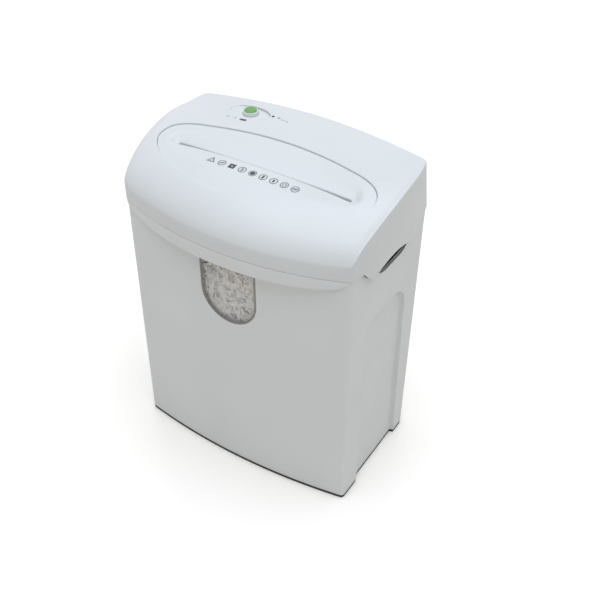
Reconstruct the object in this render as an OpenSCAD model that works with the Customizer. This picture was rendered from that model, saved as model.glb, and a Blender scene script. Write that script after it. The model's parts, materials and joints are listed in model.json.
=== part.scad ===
// Cross-cut paper shredder: a bowed waste bin with a lift-off cutting head.
// Units are millimetres. +X is the user's right, -Y is the front, +Z is up, and the origin is the
// middle of the footprint on the floor.

/* [Outline] */
// Room from each end of the slot to the upright corners, for the plates and gears
end_room = 37; // [36:0.5:40]
// Distance from the origin to the front corners
front_y = 75; // [72:0.5:78]
// Distance from the origin to the back corners
back_y = 97; // [94:0.5:100]
// How far the front of the head bows out between its corners
front_bow = 30; // [27:0.5:33]
// How far each side of the head bows out between its corners
side_bow = 9; // [8:0.25:10]
// How far the back bows out between its corners
back_bow = 8; // [6:0.5:10]
// Radius of the upright corners
corner_r = 9; // [7:0.5:11]
// Wall of the moulded shells
shell = 2.5; // [2.2:0.1:2.8]
// Gap at the seam between head and bin
seam_gap = 0.3; // [0.2:0.05:0.6]

/* [Hood] */
// Height of the seam between head and bin
seam_z = 337; // [330:1:345]
// Height of the upright apron from the seam to the crease
apron_h = 18; // [15:0.5:20]
// Rise of the dome above the crease
dome_h = 48.5; // [45:0.5:51]
// Distance from the front over which the dome rises
dome_run = 110; // [100:1:120]
// Extra rise from the top of the dome to the back edge
back_rise = 6.8; // [4:0.2:8]
// How far the back corners fall below the middle of the back edge
back_drop = 5.2; // [4:0.2:7]
// How far the back wall leans in by its top edge
back_lean = 12; // [9:0.5:14]
// Width of the rolled shoulder along each side
shoulder_w = 12; // [9:0.5:15]
// Drop of the rolled shoulder
shoulder_drop = 3.2; // [2:0.2:4]
// How far the side skirts hang below the seam
skirt_drop = 15; // [12:0.5:17]
// Rise of the finger arch in each side skirt
grip_rise = 9; // [6:0.5:11]
// Length of the finger arch in each side skirt
grip_len = 76; // [64:1:80]

/* [Feed opening] */
// Length of the paper slot
slot_len = 224; // [220:0.5:226]
// Width of the paper slot
slot_w = 5; // [4.6:0.1:6]
// Distance of the paper slot ahead of the origin
slot_y = 17; // [15:0.5:19]
// Distance from the ends of the sunk panel to the upright corners
eye_margin = 11; // [9.5:0.5:14]
// Reach of the sunk panel behind the slot
eye_back = 46; // [43:0.5:49]
// Reach of the sunk panel ahead of the slot
eye_front = 53; // [48:0.5:56]
// Depth of the step round the sunk panel
eye_step = 2; // [1.4:0.1:2.2]
// Depth of the valley that leads to the slot
valley = 8; // [6:0.5:9]
// Wall of the sunk panel
panel_t = 2; // [1.8:0.1:2.4]

/* [Switch] */
// Distance of the switch to the left of the middle
switch_x = 69; // [66:0.5:73]
// Distance of the switch behind the origin
switch_y = 64.5; // [63:0.5:67]
// Radius of the coloured cap
cap_r = 7.5; // [6.5:0.25:8]
// Width of the knob's collar round the cap, at its foot
collar_w = 2.3; // [2:0.1:3]
// Travel of the knob each way
knob_travel = 7; // [6:0.5:8]
// Room in the dish past the knob at the end of its travel
dish_end = 10; // [8:0.5:12]
// Room in the dish beside the knob
dish_side = 2; // [1.2:0.1:2.6]

/* [Bin] */
// How far the bin's front panel bows out between its corners
panel_bow = 13.5; // [11:0.5:15]
// Distance from the origin to the bin's back at the floor
foot_back = 88.5; // [86:0.5:91]
// Radius of the bin's rear corners at the floor
rear_r = 15; // [12:0.5:17]
// Height of the lip band across the front
lip_h = 19; // [16:0.5:22]
// How far the lip narrows towards its ends
lip_taper = 8; // [6:0.5:10]
// Thickness of the bin's floor
floor_t = 3; // [2.5:0.1:4]
// Depth of the finger scoop below the seam
scoop_depth = 31; // [30:0.5:35]
// Depth of the arched recess in each side
arch_depth = 3.6; // [3:0.1:4.2]
// Height of the arched recess
arch_top = 253; // [240:1:265]

/* [Window] */
// Half width of the window
window_x = 37.5; // [34:0.5:41]
// Height of the window's rounded bottom above the floor
window_z = 227.5; // [220:0.5:235]
// Thickness of the window pane
pane_t = 1.6; // [1.2:0.1:2]

/* [Cutting unit] */
// Height of the cutter shafts above the seam
shaft_rise = 15; // [14:0.25:17]
// Outer radius of the cutter discs
disc_r = 18.2; // [17.9:0.05:18.3]
// Radius of the spacers between the discs
spacer_r = 14; // [13.6:0.1:14.2]
// Distance from one disc to the next on the same shaft
disc_pitch = 8; // [7.9:0.02:8.04]
// Play between the faces of discs that pass each other
disc_play = 0.3; // [0.2:0.05:0.5]
// Clearance between a disc and the spacer that it faces
disc_gap = 0.8; // [0.6:0.1:1.2]
// Radius of the shaft journals
journal_r = 7; // [6.5:0.1:7.5]
// Thickness of the steel side plates
plate_t = 3; // [2.5:0.1:3]
// Radius of the tie rods
rod_r = 3.5; // [3:0.1:3.6]

/* [Gears] */
// Module of the first reduction, next to the motor
first_module = 0.8; // [0.75:0.01:0.82]
// Module of the second reduction
second_module = 1; // [0.97:0.01:1.02]
// Module of the last reduction, on the rear cutter
last_module = 1.4; // [1.36:0.01:1.42]
// Face width of the gears
gear_w = 4; // [3.6:0.1:4.3]
// Play between gear teeth along the pitch line
backlash = 0.16; // [0.12:0.02:0.3]

/* [Motor] */
// Outer radius of the motor can
motor_r = 27; // [25.5:0.25:27.5]
// Length of the motor can
motor_len = 80; // [70:1:86]
// Gap between the motor and the rear comb
motor_gap = 2.7; // [2.2:0.1:4]
// Gap between the motor and the tub's floor
motor_under = 1.8; // [1.2:0.1:2.5]
// Radius of the armature core
core_r = 15.5; // [14:0.25:16]

/* [Base tray] */
// Depth of the tub below the seam
tub_depth = 27; // [25:0.5:29]
// Gap between the tub's walls and what it holds
tub_gap = 2.2; // [1.8:0.1:3]
// Wall of the tub
tub_t = 2.2; // [2:0.1:2.4]

/* [Fits] */
// Radial clearance of shafts in their bores
run_fit = 0.05; // [0.03:0.01:0.08]
// Clearance round parts that drop into an opening
drop_fit = 0.2; // [0.15:0.05:0.35]
// Radius of the cover and frame screws
screw_r = 1.6; // [1.4:0.1:1.8]

/* [Hidden] */
$fn = 64;
eps = 0.01;

// Moulding colours
white_c = [0.90, 0.92, 0.94];
grey_c = [0.78, 0.79, 0.79];
dark_c = [0.22, 0.22, 0.23];
steel_c = [0.62, 0.63, 0.65];
nylon_c = [0.88, 0.86, 0.80];

// Points along an outline
front_n = 12;
side_n = 26;
back_n = 8;
fillet_n = 4;

// Head outline
corner_x = slot_len / 2 + end_room;
crease_z = seam_z + apron_h;
front_R = arc_radius(corner_x, front_bow);
front_c = front_R - front_y - front_bow;
side_R = arc_radius((front_y + back_y) / 2, side_bow);
side_c = [corner_x + side_bow - side_R, (back_y - front_y) / 2];
back_top_y = back_y - back_lean;
crease_soft = 1.5;
back_span = 90;
drop_start = 80;
drop_span = 65;
grip_y = 3;

// Feed panel
eye_n = 64;
eye_blunt_back = 0.8;
eye_blunt_front = 1.15;
eye_half = corner_x - eye_margin;
slot_c = [0, -slot_y];
basin_half = eye_half - 12;
basin_back = eye_back - 11;
basin_front = eye_front - 22;
basin_end = 14;
valley_front = 0.6;
shaft_z = seam_z + shaft_rise;
throat_z = shaft_z + disc_r + 2.5;

// Base tray flange
flange_z = seam_z + seam_gap;
flange_t = 2.5;
flange_top = flange_z + flange_t;

// Cutting unit
shaft_gap = disc_r + spacer_r + disc_gap;
disc_w = disc_pitch / 2 - disc_play;
front_shaft = [-slot_y - shaft_gap / 2, shaft_z];
rear_shaft = [-slot_y + shaft_gap / 2, shaft_z];
disc_count = floor(slot_len / disc_pitch + eps);
stack_half = disc_count * disc_pitch / 2;
plate_in = stack_half + 1;
plate_out = plate_in + plate_t;
bush_r = journal_r + 2.5;
bush_rim = 0.8;
stub_r = 5;
tub_z = seam_z - tub_depth;
tub_floor = tub_z + tub_t;
rod_out = disc_r + 1.8;
rod_up = spacer_r;
comb_half = rod_r + 1.5;
comb_bore = rod_r + run_fit;
comb_gap = 0.6;

// Gear train: teeth, faces and centres
sync_teeth = 20;
sync_module = shaft_gap / sync_teeth;
first_pinion = 12;
first_gear = 54;
second_pinion = 13;
second_gear = 48;
last_pinion = 12;
last_gear = 40;
slab_gap = 0.6;
slab_a = plate_out + bush_rim + 0.2;
slab_b = slab_a + gear_w + slab_gap;
slab_c = slab_b + gear_w + slab_gap;
slab_end = slab_c + gear_w;
cover_x = slab_end + 1;
cover_t = 1.4;
motor_y = rear_shaft[0] + rod_out + comb_half + motor_gap + motor_r;
motor_z = tub_floor + motor_under + motor_r;
motor_at = [motor_y, motor_z];
first_dist = first_module * (first_pinion + first_gear) / 2;
second_dist = second_module * (second_pinion + second_gear) / 2;
last_dist = last_module * (last_pinion + last_gear) / 2;
train_bend = 3.6;
idler_1_at = meet(motor_at, first_dist, rear_shaft, last_dist + second_dist - train_bend, -1);
idler_2_at = meet(rear_shaft, last_dist, idler_1_at, second_dist, -1);
pin_r = 3;
pinion_bore = 2.5;

// Tub
tub_x = cover_x + cover_t + 2 * screw_r + tub_gap;
tub_front = comb_half + rod_out - front_shaft[0] + tub_gap + tub_t;
tub_back = motor_y + motor_r + tub_gap + tub_t;

// Motor along X
drive_bell = 16;
brush_bell = 16;
can_end = plate_in - drive_bell;
can_start = can_end - motor_len;
bell_start = can_start - brush_bell;
can_t = 1.6;
motor_shaft_r = pinion_bore;

// Electronics
board_size = [78, 42];
board_at = [22 - tub_x, tub_back - tub_t - 2 - board_size[1]];
board_z = tub_floor + 12;
board_t = 1.6;

// ---------------------------------------------------------------- functions

// Radius of an arc from its half chord and its sagitta
function arc_radius(half, sag) = (half * half + sag * sag) / (2 * sag);

// Where two circles meet; side picks which of the two points
function meet(c1, r1, c2, r2, side) =
    let (v = c2 - c1, d = norm(v), u = v / d, a = (r1 * r1 - r2 * r2 + d * d) / (2 * d))
    c1 + a * u + side * sqrt(r1 * r1 - a * a) * [-u[1], u[0]];

function heading(v) = atan2(v[1], v[0]);
function lerp(a, b, t) = a + (b - a) * t;
function clamp01(t) = min(1, max(0, t));
function ease(t) = let (c = clamp01(t)) c * c * (3 - 2 * c);

// Points along an arc, without its last point
function arc(c, r, a0, a1, n) =
    [for (i = [0 : n - 1]) let (a = lerp(a0, a1, i / n)) c + r * [cos(a), sin(a)]];

// Right half of a plan outline with four bowed sides, from the front middle to the back middle.
// front and back are [corner distance, bow, corner radius]; inset moves the whole line inwards.
function half_outline(cx, front, back, bow, inset) =
    let (
        rf = arc_radius(cx, front[1]),
        rs = arc_radius((front[0] + back[0]) / 2, bow),
        rb = arc_radius(cx, back[1]),
        cf = [0, rf - front[0] - front[1]],
        cs = [cx + bow - rs, (back[0] - front[0]) / 2],
        cb = [0, back[0] + back[1] - rb],
        r1 = max(front[2] - inset, 1),
        r2 = max(back[2] - inset, 1),
        f1 = meet(cf, rf - inset - r1, cs, rs - inset - r1, 1),
        f2 = meet(cs, rs - inset - r2, cb, rb - inset - r2, 1),
        a1 = heading(f1 - cf), a2 = heading(f1 - cs),
        a3 = heading(f2 - cs), a4 = heading(f2 - cb)
    )
    concat(
        arc(cf, rf - inset, -90, a1, front_n),
        arc(f1, r1, a1, a2, fillet_n),
        arc(cs, rs - inset, a2, a3, side_n),
        arc(f2, r2, a3, a4, fillet_n),
        arc(cb, rb - inset, a4, 90, back_n),
        [cb + [0, rb - inset]]);

// A closed outline from its right half
function whole(h) = concat(h, [for (i = [len(h) - 2 : -1 : 1]) [-h[i][0], h[i][1]]]);

// Head outline at a height between the seam (0) and the top edge (1)
function head_outline(inset, t) =
    whole(half_outline(corner_x, [front_y, front_bow, corner_r],
        [back_y - back_lean * t, back_bow, corner_r], side_bow, inset));

// Bin outline at the floor (0) or the seam (1), with a given front bow
function bin_outline(inset, t, bow) =
    whole(half_outline(corner_x, [front_y, bow, corner_r],
        [lerp(foot_back, back_y, t), lerp(0.5, back_bow, t), lerp(rear_r, corner_r, t)], 0.3, inset));

// Distance from the bowed front, measured along the dome
function from_front(x, y) = front_R - norm([x, y - front_c]);
// Front of a bowed outline at a place across
function front_line(x, bow) = let (R = arc_radius(corner_x, bow)) R - front_y - bow - sqrt(R * R - x * x);
function side_x(y) = side_c[0] + sqrt(pow(side_R, 2) - pow(y - side_c[1], 2));
function dome_part(u) = sqrt(1 - pow(1 - clamp01((u + crease_soft) / (dome_run + crease_soft)), 2));
function dome(u) = dome_h * (dome_part(u) - dome_part(0)) / (1 - dome_part(0));
function shoulder(x, y, u) =
    shoulder_drop * pow(1 - clamp01((side_x(y) - abs(x)) / shoulder_w), 2)
    * ease((back_top_y - y) / 45) * clamp01(u / 25);

// Height of the hood's outer skin
function roof_z(x, y) =
    let (u = max(0, from_front(x, y)))
    crease_z + dome(u) + back_rise * max(0, u - dome_run) / back_span
    - back_drop * ease((u - drop_start) / drop_span) * pow(x / corner_x, 2) - shoulder(x, y, u);

// Lower edge of the hood: level at the front and back, a skirt with a finger arch at the sides
function skirt_part(y) = ease((y + front_y - 17) / 18) * ease((back_y - 6 - y) / 30);
function grip_part(y) = max(0, 1 - pow((y - grip_y) / (grip_len / 2), 2));
function skirt_z(y) = seam_z - skirt_drop * skirt_part(y);
function hood_rim_z(y) = skirt_z(y) + grip_rise * grip_part(y);

// Sunk panel outline: a blunt-ended eye, scaled by s
function eye_point(a, half, back, front, s) =
    slot_c + s * [half * cos(a),
        sin(a) > 0 ? back * pow(sin(a), eye_blunt_back) : -front * pow(-sin(a), eye_blunt_front)];
function eye_outline(grow) =
    [for (i = [0 : eye_n - 1])
        eye_point(360 * i / eye_n, eye_half + grow, eye_back + grow, eye_front + grow, 1)];

// How deep the valley is at a point, from 0 at the basin's edge
function basin_reach(x, back) = max(eps, back * pow(max(0, 1 - pow(x / basin_half, 2)), 0.45));
function basin_depth(x, y) =
    let (d = y + slot_y, end = pow(clamp01(abs(x) / basin_half), 3),
        level = valley * ease((basin_half - abs(x)) / basin_end))
    abs(x) >= basin_half ? 0 :
    d >= 0 ? level * clamp01(1 - d / basin_reach(x, basin_back))
    : lerp(valley_front, 1, end) * level * pow(clamp01(1 + d / basin_reach(x, basin_front)), 1.5);
function panel_z(x, y) = roof_z(x, y) - eye_step - basin_depth(x, y);

// Front lip and side rim of the bin
function lip_z(x) = seam_z - lip_h + lip_taper * pow(clamp01(abs(x) / (corner_x - 9)), 4);
function scoop_part(y) = max(0, 1 - pow(abs(y - grip_y - 13) / 45, 5));
function rim_z(y) = seam_z - seam_gap - (y > -front_y + 3 && y < back_y - 3 ? scoop_depth * scoop_part(y) : 0);
function rebate(y) = (shell + seam_gap + 0.5) * clamp01(30 * skirt_part(y))
    * clamp01((rim_z(y) - hood_rim_z(y)) / 3 + 1);
function ledge_z(x, y) =
    y < -front_y + 3 ? lip_z(x) :
    y > back_y - 3 ? seam_z - 6 :
    min(skirt_z(y) - 1, rim_z(y) - 3.6);

// Involute gear teeth
pressure = 25;
function involute(a) = tan(a) * 180 / PI - a;
function flank(rho, rb) = rho <= rb ? 0 : involute(acos(rb / rho));
function gear_points(teeth, m, phase) =
    let (
        r = m * teeth / 2, rb = r * cos(pressure), tip = r + 0.9 * m, root = r - 1.15 * m,
        low = max(root, rb),
        half = 90 / teeth - backlash / 4 / r * 180 / PI + involute(pressure),
        radii = concat([root], [for (i = [0 : 4]) lerp(low + eps, tip, i / 4)])
    )
    [for (k = [0 : teeth - 1]) let (c = phase + 360 * k / teeth)
        each concat(
            [for (rho = radii) let (a = c - half + flank(rho, rb)) rho * [cos(a), sin(a)]],
            [for (i = [len(radii) - 1 : -1 : 0])
                let (a = c + half - flank(radii[i], rb)) radii[i] * [cos(a), sin(a)]])];

// Phase that puts a gear in mesh with one whose phase is known
function mesh_phase(from, from_teeth, phase, to, teeth) =
    let (line = heading(to - from)) line + 180 + (180 - (phase - line) * from_teeth) / teeth;

last_phase = mesh_phase(rear_shaft, last_gear, 0, idler_2_at, last_pinion);
second_phase = mesh_phase(idler_2_at, second_gear, last_phase, idler_1_at, second_pinion);
first_phase = mesh_phase(idler_1_at, first_gear, second_phase, motor_at, first_pinion);
sync_phase = mesh_phase(front_shaft, sync_teeth, 0, rear_shaft, sync_teeth);

// ---------------------------------------------------------------- helpers

// A closed skin through rings of equal length, from a first pole to a last pole
module skin(first, rings, last) {
    n = len(rings[0]);
    m = len(rings);
    points = concat([first], [for (r = rings) each r], [last]);
    function at(k, i) = 1 + k * n + i % n;
    polyhedron(points = points, convexity = 8, faces = concat(
        [for (i = [0 : n - 1]) [0, at(0, i + 1), at(0, i)]],
        [for (k = [0 : m - 2], i = [0 : n - 1]) each [
            [at(k, i), at(k, i + 1), at(k + 1, i + 1)],
            [at(k, i), at(k + 1, i + 1), at(k + 1, i)]]],
        [for (i = [0 : n - 1]) [1 + m * n, at(m - 1, i), at(m - 1, i + 1)]]));
}

// Puts a drawing in the Y-Z plane and pulls it along +X from x
module along_x(x, length) translate([x, 0, 0]) rotate([90, 0, 90]) linear_extrude(length) children();

// A round bar along X
module bar_x(x, at, r, length) along_x(x, length) translate(at) circle(r);

// Mirrors left and right
module both() {
    children();
    mirror([1, 0, 0]) children();
}

module rounded_square(size, r) hull()
    for (x = [r, size[0] - r], y = [r, size[1] - r]) translate([x, y]) circle(r, $fn = 32);

// A screw along +Z with its head below z = 0
module screw(r, length) {
    translate([0, 0, -r * 1.1]) cylinder(r = r * 1.9, h = r * 1.1);
    cylinder(r = r, h = length);
}

module gear(at, teeth, m, phase, x, width, bore) along_x(x, width) translate(at) difference() {
    polygon(gear_points(teeth, m, phase));
    circle(bore);
}

// ---------------------------------------------------------------- shells

top_n = 9;
function top_scale(k) = 1 - pow(k / top_n, 1.6);

// Hood skin, moved inwards and down by t, from the middle of the roof to the rim
function hood_rings(t) =
    let (edge = head_outline(t, 1), rim = head_outline(t, 0))
    concat(
        [for (k = [top_n - 1 : -1 : 0]) let (s = top_scale(k))
            [for (p = edge) [p[0] * s, p[1] * s, roof_z(p[0] * s, p[1] * s) - t]]],
        [[for (p = rim) [p[0], p[1], max(hood_rim_z(p[1]), seam_z - skirt_drop)]]]);

function reversed(list) = [for (i = [len(list) - 1 : -1 : 0]) list[i]];

// Bosses for the screws that hold the hood on the tray: two beside the tub and one ahead of it
boss_r = 4;
boss_at = [[corner_x - 2.5, grip_y + 41], [corner_x - 2.5, grip_y - 17], [90, -front_y - 1]];

// Top of a boss: inside the skin all round, and into it on the low side
function boss_top(p) = min([for (a = [0 : 45 : 315])
    roof_z(p[0] + boss_r * cos(a), p[1] + boss_r * sin(a))]) - shell / 2;

module hood_shell() skin([0, 0, roof_z(0, 0)], concat(hood_rings(0), reversed(hood_rings(shell))),
    [0, 0, roof_z(0, 0) - shell]);

vent_n = 9;
vent_pitch = 7;
gland_x = 45 - corner_x;
gland_z = seam_z + 17;
gland_r = 5.5;
lens_at = [-39, switch_y + 2];
lens_r = 1.6;

module hood() color(white_c) {
    difference() {
        hood_shell();
        translate([0, 0, seam_z + apron_h]) linear_extrude(80) polygon(eye_outline(drop_fit));
        translate([-switch_x, switch_y, crease_z + 20]) linear_extrude(60)
            polygon(dish_outline(drop_fit));
        for (i = [0, 1]) translate([lens_at[0] + 8 * i, lens_at[1], crease_z + 20])
            cylinder(r = lens_r + run_fit, h = 60);
        for (i = [0 : vent_n - 1]) translate([20 + vent_pitch * i, back_y - 22, seam_z + 20])
            cube([3, 60, 26]);
        translate([gland_x, back_y - 20, gland_z]) rotate([-90, 0, 0]) cylinder(r = gland_r, h = 40);
    }
    for (p = boss_at) both() difference() {
        translate([p[0], p[1], flange_top]) cylinder(r = boss_r, h = boss_top(p) - flange_top);
        translate([p[0], p[1], flange_top - 1]) cylinder(r = screw_r, h = 14);
    }
}

// ---------------------------------------------------------------- feed opening

eye_rings = 8;
rim_gap = 0.45;
function panel_ring(s, drop) =
    [for (i = [0 : eye_n - 1]) let (p = eye_point(360 * i / eye_n, eye_half, eye_back, eye_front, s))
        [p[0], p[1], panel_z(p[0], p[1]) - drop]];
function panel_rings(drop) = [for (k = [1 : eye_rings]) panel_ring(pow(k / eye_rings, 0.8), drop)];

// Rim that holds the panel against the underside of the hood
function rim_ring(grow, drop) =
    [for (p = eye_outline(grow)) [p[0], p[1], roof_z(p[0], p[1]) - drop]];

module feed_insert() color(white_c) difference() {
    union() {
        skin([0, -slot_y, panel_z(0, -slot_y)],
            concat(panel_rings(0),
                [rim_ring(0, shell + rim_gap), rim_ring(4, shell + rim_gap), rim_ring(4, shell + panel_t)],
                reversed(panel_rings(panel_t + 0.6))),
            [0, -slot_y, panel_z(0, -slot_y) - panel_t - 0.6]);
        intersection() {
            translate([-slot_len / 2 - 2, -slot_y - slot_w / 2 - 2, throat_z])
                cube([slot_len + 4, slot_w + 4, dome_h]);
            skin([0, -slot_y, panel_z(0, -slot_y) - 1],
                concat(panel_rings(1), [[for (p = eye_outline(0)) [p[0], p[1], throat_z - 1]]]),
                [0, -slot_y, throat_z - 1]);
        }
    }
    translate([-slot_len / 2, -slot_y - slot_w / 2, throat_z - 1]) cube([slot_len, slot_w, 60]);
}

module paper_sensors() color(dark_c) for (side = [-1, 1])
    translate([-5, -slot_y + side * (slot_w / 2 + 2 + 3) - 3, throat_z]) cube([10, 6, 7]);

// ---------------------------------------------------------------- switch

dish_n = 40;
knob_r = cap_r + collar_w;
dish_half = knob_travel + knob_r + dish_end;
dish_w = knob_r + dish_side;
function dish_outline(grow) = [for (i = [0 : dish_n - 1]) let (a = 360 * i / dish_n)
    [(dish_half + grow) * cos(a), sign(sin(a)) * (dish_w + grow) * pow(abs(sin(a)), 1.1)]];
dish_z = roof_z(-switch_x, switch_y) - 3.6;
dish_t = 1.4;
stem_r = 2;

module at_switch(z) translate([-switch_x, switch_y, z]) children();

module switch_dish() color(white_c) difference() {
    union() {
        at_switch(dish_z) linear_extrude(dish_t) polygon(dish_outline(0));
        at_switch(dish_z - 1) linear_extrude(1) polygon(dish_outline(-2));
    }
    at_switch(dish_z - 2) linear_extrude(5)
        hull() for (s = [-1, 1]) translate([s * knob_travel, 0]) circle(stem_r + 0.3, $fn = 32);
}

knob_z = dish_z + dish_t + 0.3;
knob_h = 3.7;
cap_seat = 1.6;

module switch_knob() color(white_c) at_switch(0) difference() {
    union() {
        translate([0, 0, knob_z]) cylinder(r1 = knob_r, r2 = cap_r + 0.9, h = knob_h);
        translate([0, 0, dish_z - 4]) cylinder(r = stem_r, h = knob_z - dish_z + 4.5);
    }
    translate([0, 0, knob_z + knob_h - cap_seat]) cylinder(r = cap_r + 0.1, h = knob_h);
}

module knob_cap() color([0.40, 0.66, 0.35]) at_switch(knob_z + knob_h - cap_seat) {
    cylinder(r = cap_r, h = cap_seat + 0.4);
    translate([0, 0, cap_seat + 0.4]) cylinder(r1 = cap_r, r2 = cap_r - 1, h = 0.7);
}

module switch_body() color(dark_c) at_switch(dish_z - 13) difference() {
    translate([-knob_travel - 8, -6, 0]) cube([2 * knob_travel + 16, 12, 12]);
    translate([-knob_travel - 3.5, -stem_r - 0.5, 7]) cube([2 * knob_travel + 7, 2 * stem_r + 1, 6]);
}

module indicator_lenses() color([0.75, 0.80, 0.72]) for (i = [0, 1])
    translate([lens_at[0] + 8 * i, lens_at[1], 0]) {
        top = roof_z(lens_at[0] + 8 * i, lens_at[1]);
        translate([0, 0, top - shell - 3]) cylinder(r = lens_r, h = shell + 3.1);
        translate([0, 0, top - shell - 3.5]) cylinder(r = lens_r + 1, h = 3);
    }

// ---------------------------------------------------------------- bin

// One side of the bin's wall: floor ring, body ring, ledge and rim
function on_ledge(p, t, lift) = [p[0] - sign(p[0]) * rebate(p[1]), p[1], ledge_z(p[0], p[1]) + lift];
function bin_wall(t, low) =
    let (foot = bin_outline(t, 0, panel_bow), body = bin_outline(t, 1, panel_bow),
        lip = bin_outline(t, 1, front_bow))
    [
        [for (p = foot) [p[0], p[1], low]],
        [for (p = body) [p[0], p[1], ledge_z(p[0], p[1]) + t * 0.8]],
        [for (p = lip) on_ledge(p, t, 1.2 + t * 0.8)],
        [for (p = lip) [p[0] - sign(p[0]) * rebate(p[1]), p[1], rim_z(p[1])]]
    ];

foot_round = 2;
arch_front = [-46, -30];
arch_back = 56;
arch_r = 30;
arch_n = 12;

// Arched recess in one side, with a ramp at its front; grow makes the liner that backs it
function arch_ring(x, start, grow) =
    let (r = arch_r + grow, z = arch_top - arch_r)
    [for (p = concat(
            [[start - grow, -1]],
            arc([start + arch_r, z], r, 180, 90, arch_n),
            arc([arch_back - arch_r, z], r, 90, 0, arch_n),
            [[arch_back + grow, z], [arch_back + grow, -1]]))
        [x, p[0], p[1]]];
module arch_recess(grow) {
    inner_x = corner_x - arch_depth - grow;
    skin([inner_x, 0, arch_top / 2],
        [arch_ring(inner_x, arch_front[1], grow), arch_ring(corner_x + 1, arch_front[0], grow)],
        [corner_x + 1, 0, arch_top / 2]);
}

module window_shape(grow) {
    round_z = window_z + window_x;
    translate([0, round_z]) circle(window_x + grow);
    translate([-window_x - grow, round_z]) square([2 * (window_x + grow), seam_z - lip_h - 6 - round_z + grow]);
}

// Pushes a drawing in the X-Z plane back from y
module along_y(y, depth) translate([0, y + depth, 0]) rotate([90, 0, 0]) linear_extrude(depth) children();

module bin() color(grey_c) union() {
    difference() {
        skin([0, 0, floor_t],
            concat(bin_wall(shell, floor_t), reversed(bin_wall(0, foot_round)),
                [[for (p = bin_outline(foot_round, 0, panel_bow)) [p[0], p[1], 0]]]),
            [0, 0, 0]);
        both() arch_recess(0);
        along_y(-front_y - front_bow, front_bow + 30) window_shape(0);
    }
    both() intersection() {
        difference() {
            arch_recess(shell);
            arch_recess(0);
        }
        translate([corner_x - 12, -front_y, 0]) cube([12 - eps, 2 * back_y, seam_z]);
    }
}

panel_R = arc_radius(corner_x, panel_bow);
panel_c = panel_R - front_y - panel_bow;

module window_pane() color([0.55, 0.53, 0.52]) {
    intersection() {
        along_y(-front_y - panel_bow - 1, 20) window_shape(-drop_fit);
        pane_ring(0.7, shell + 0.3);
    }
    intersection() {
        along_y(-front_y - panel_bow - 1, 20) window_shape(3);
        pane_ring(shell + 0.2, shell + 0.3 + pane_t);
    }
}

// A slice of a wide tube that follows the front panel's bow
module pane_ring(near, far) translate([0, panel_c, window_z - 10]) difference() {
    cylinder(r = panel_R - near, h = seam_z - window_z, $fn = 720);
    translate([0, 0, -1]) cylinder(r = panel_R - far, h = seam_z, $fn = 720);
}

// ---------------------------------------------------------------- base tray

chute_y = [-slot_y - 30, -slot_y + 29];

module base_tray() color(dark_c) difference() {
    union() {
        translate([0, 0, flange_z]) linear_extrude(flange_t) polygon(head_outline(shell + drop_fit, 0.13));
        translate([-tub_x, -tub_front, tub_z]) linear_extrude(flange_top - tub_z)
            rounded_square([2 * tub_x, tub_front + tub_back], 8);
        translate([plunger_at[0], plunger_at[1], flange_top]) cylinder(r = 4, h = 4);
    }
    translate([-tub_x + tub_t, -tub_front + tub_t, tub_floor]) linear_extrude(60)
        rounded_square([2 * (tub_x - tub_t), tub_front + tub_back - 2 * tub_t], 6);
    translate([-slot_len / 2, chute_y[0], tub_z - 1]) cube([slot_len, chute_y[1] - chute_y[0], 10]);
    for (p = boss_at) both() translate([p[0], p[1], tub_z]) cylinder(r = screw_r + 0.2, h = 60);
    for (p = foot_at) both() translate([p[0], p[1], tub_z - 1]) cylinder(r = screw_r + 0.2, h = 10);
    translate([plunger_at[0], plunger_at[1], tub_z]) cylinder(r = plunger_r + run_fit, h = 60);
}

// ---------------------------------------------------------------- cutting unit

tooth_n = 3;
relief_n = 8;

// One cutter disc: three hooked teeth with a relief that falls away behind each
function disc_points(turn) =
    [for (k = [0 : tooth_n - 1]) let (start = turn + 360 * k / tooth_n)
        each concat(
            [(disc_r - 2.6) * [cos(start - 1), sin(start - 1)]],
            [for (i = [0 : relief_n]) let (t = i / relief_n, a = start + t * (360 / tooth_n - 9))
                lerp(disc_r, disc_r - 1.6, ease(t * 1.6)) * [cos(a), sin(a)]])];

// Discs and spacers on one shaft. lead is the helix step from disc to disc, first the first disc's X
module cutter_stack(at, first, lead) {
    bar_x(-stack_half + 0.1, at, spacer_r, 2 * stack_half - 0.2);
    for (k = [0 : disc_count - 1])
        along_x(first + k * disc_pitch - disc_w / 2, disc_w) translate(at) polygon(disc_points(k * lead));
}

module journal(at, x, length) bar_x(x, at, journal_r, length);

module front_cutter() color(steel_c) {
    cutter_stack(front_shaft, -stack_half + disc_pitch / 4, 17);
    journal(front_shaft, -slab_a - gear_w - 1, slab_a + gear_w + 1 - stack_half + 1);
    journal(front_shaft, stack_half - 1, plate_out - stack_half + 2);
}

module rear_cutter() color(steel_c) {
    cutter_stack(rear_shaft, -stack_half + disc_pitch * 3 / 4, -17);
    journal(rear_shaft, -slab_a - gear_w - 1, slab_a + gear_w + 1 - stack_half + 1);
    journal(rear_shaft, stack_half - 1, plate_out + bush_rim - stack_half + 1);
    bar_x(plate_out, rear_shaft, stub_r, cover_x + cover_t - plate_out);
}

module sync_gear_front() color(steel_c)
    gear(front_shaft, sync_teeth, sync_module, 0, -slab_a - gear_w, gear_w, journal_r);
module sync_gear_rear() color(steel_c)
    gear(rear_shaft, sync_teeth, sync_module, sync_phase, -slab_a - gear_w, gear_w, journal_r);

module final_gear() color(steel_c) {
    gear(rear_shaft, last_gear, last_module, 0, slab_c, gear_w, stub_r);
    along_x(slab_a, slab_c - slab_a) translate(rear_shaft) difference() {
        circle(stub_r + 1.5);
        circle(stub_r);
    }
}

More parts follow.
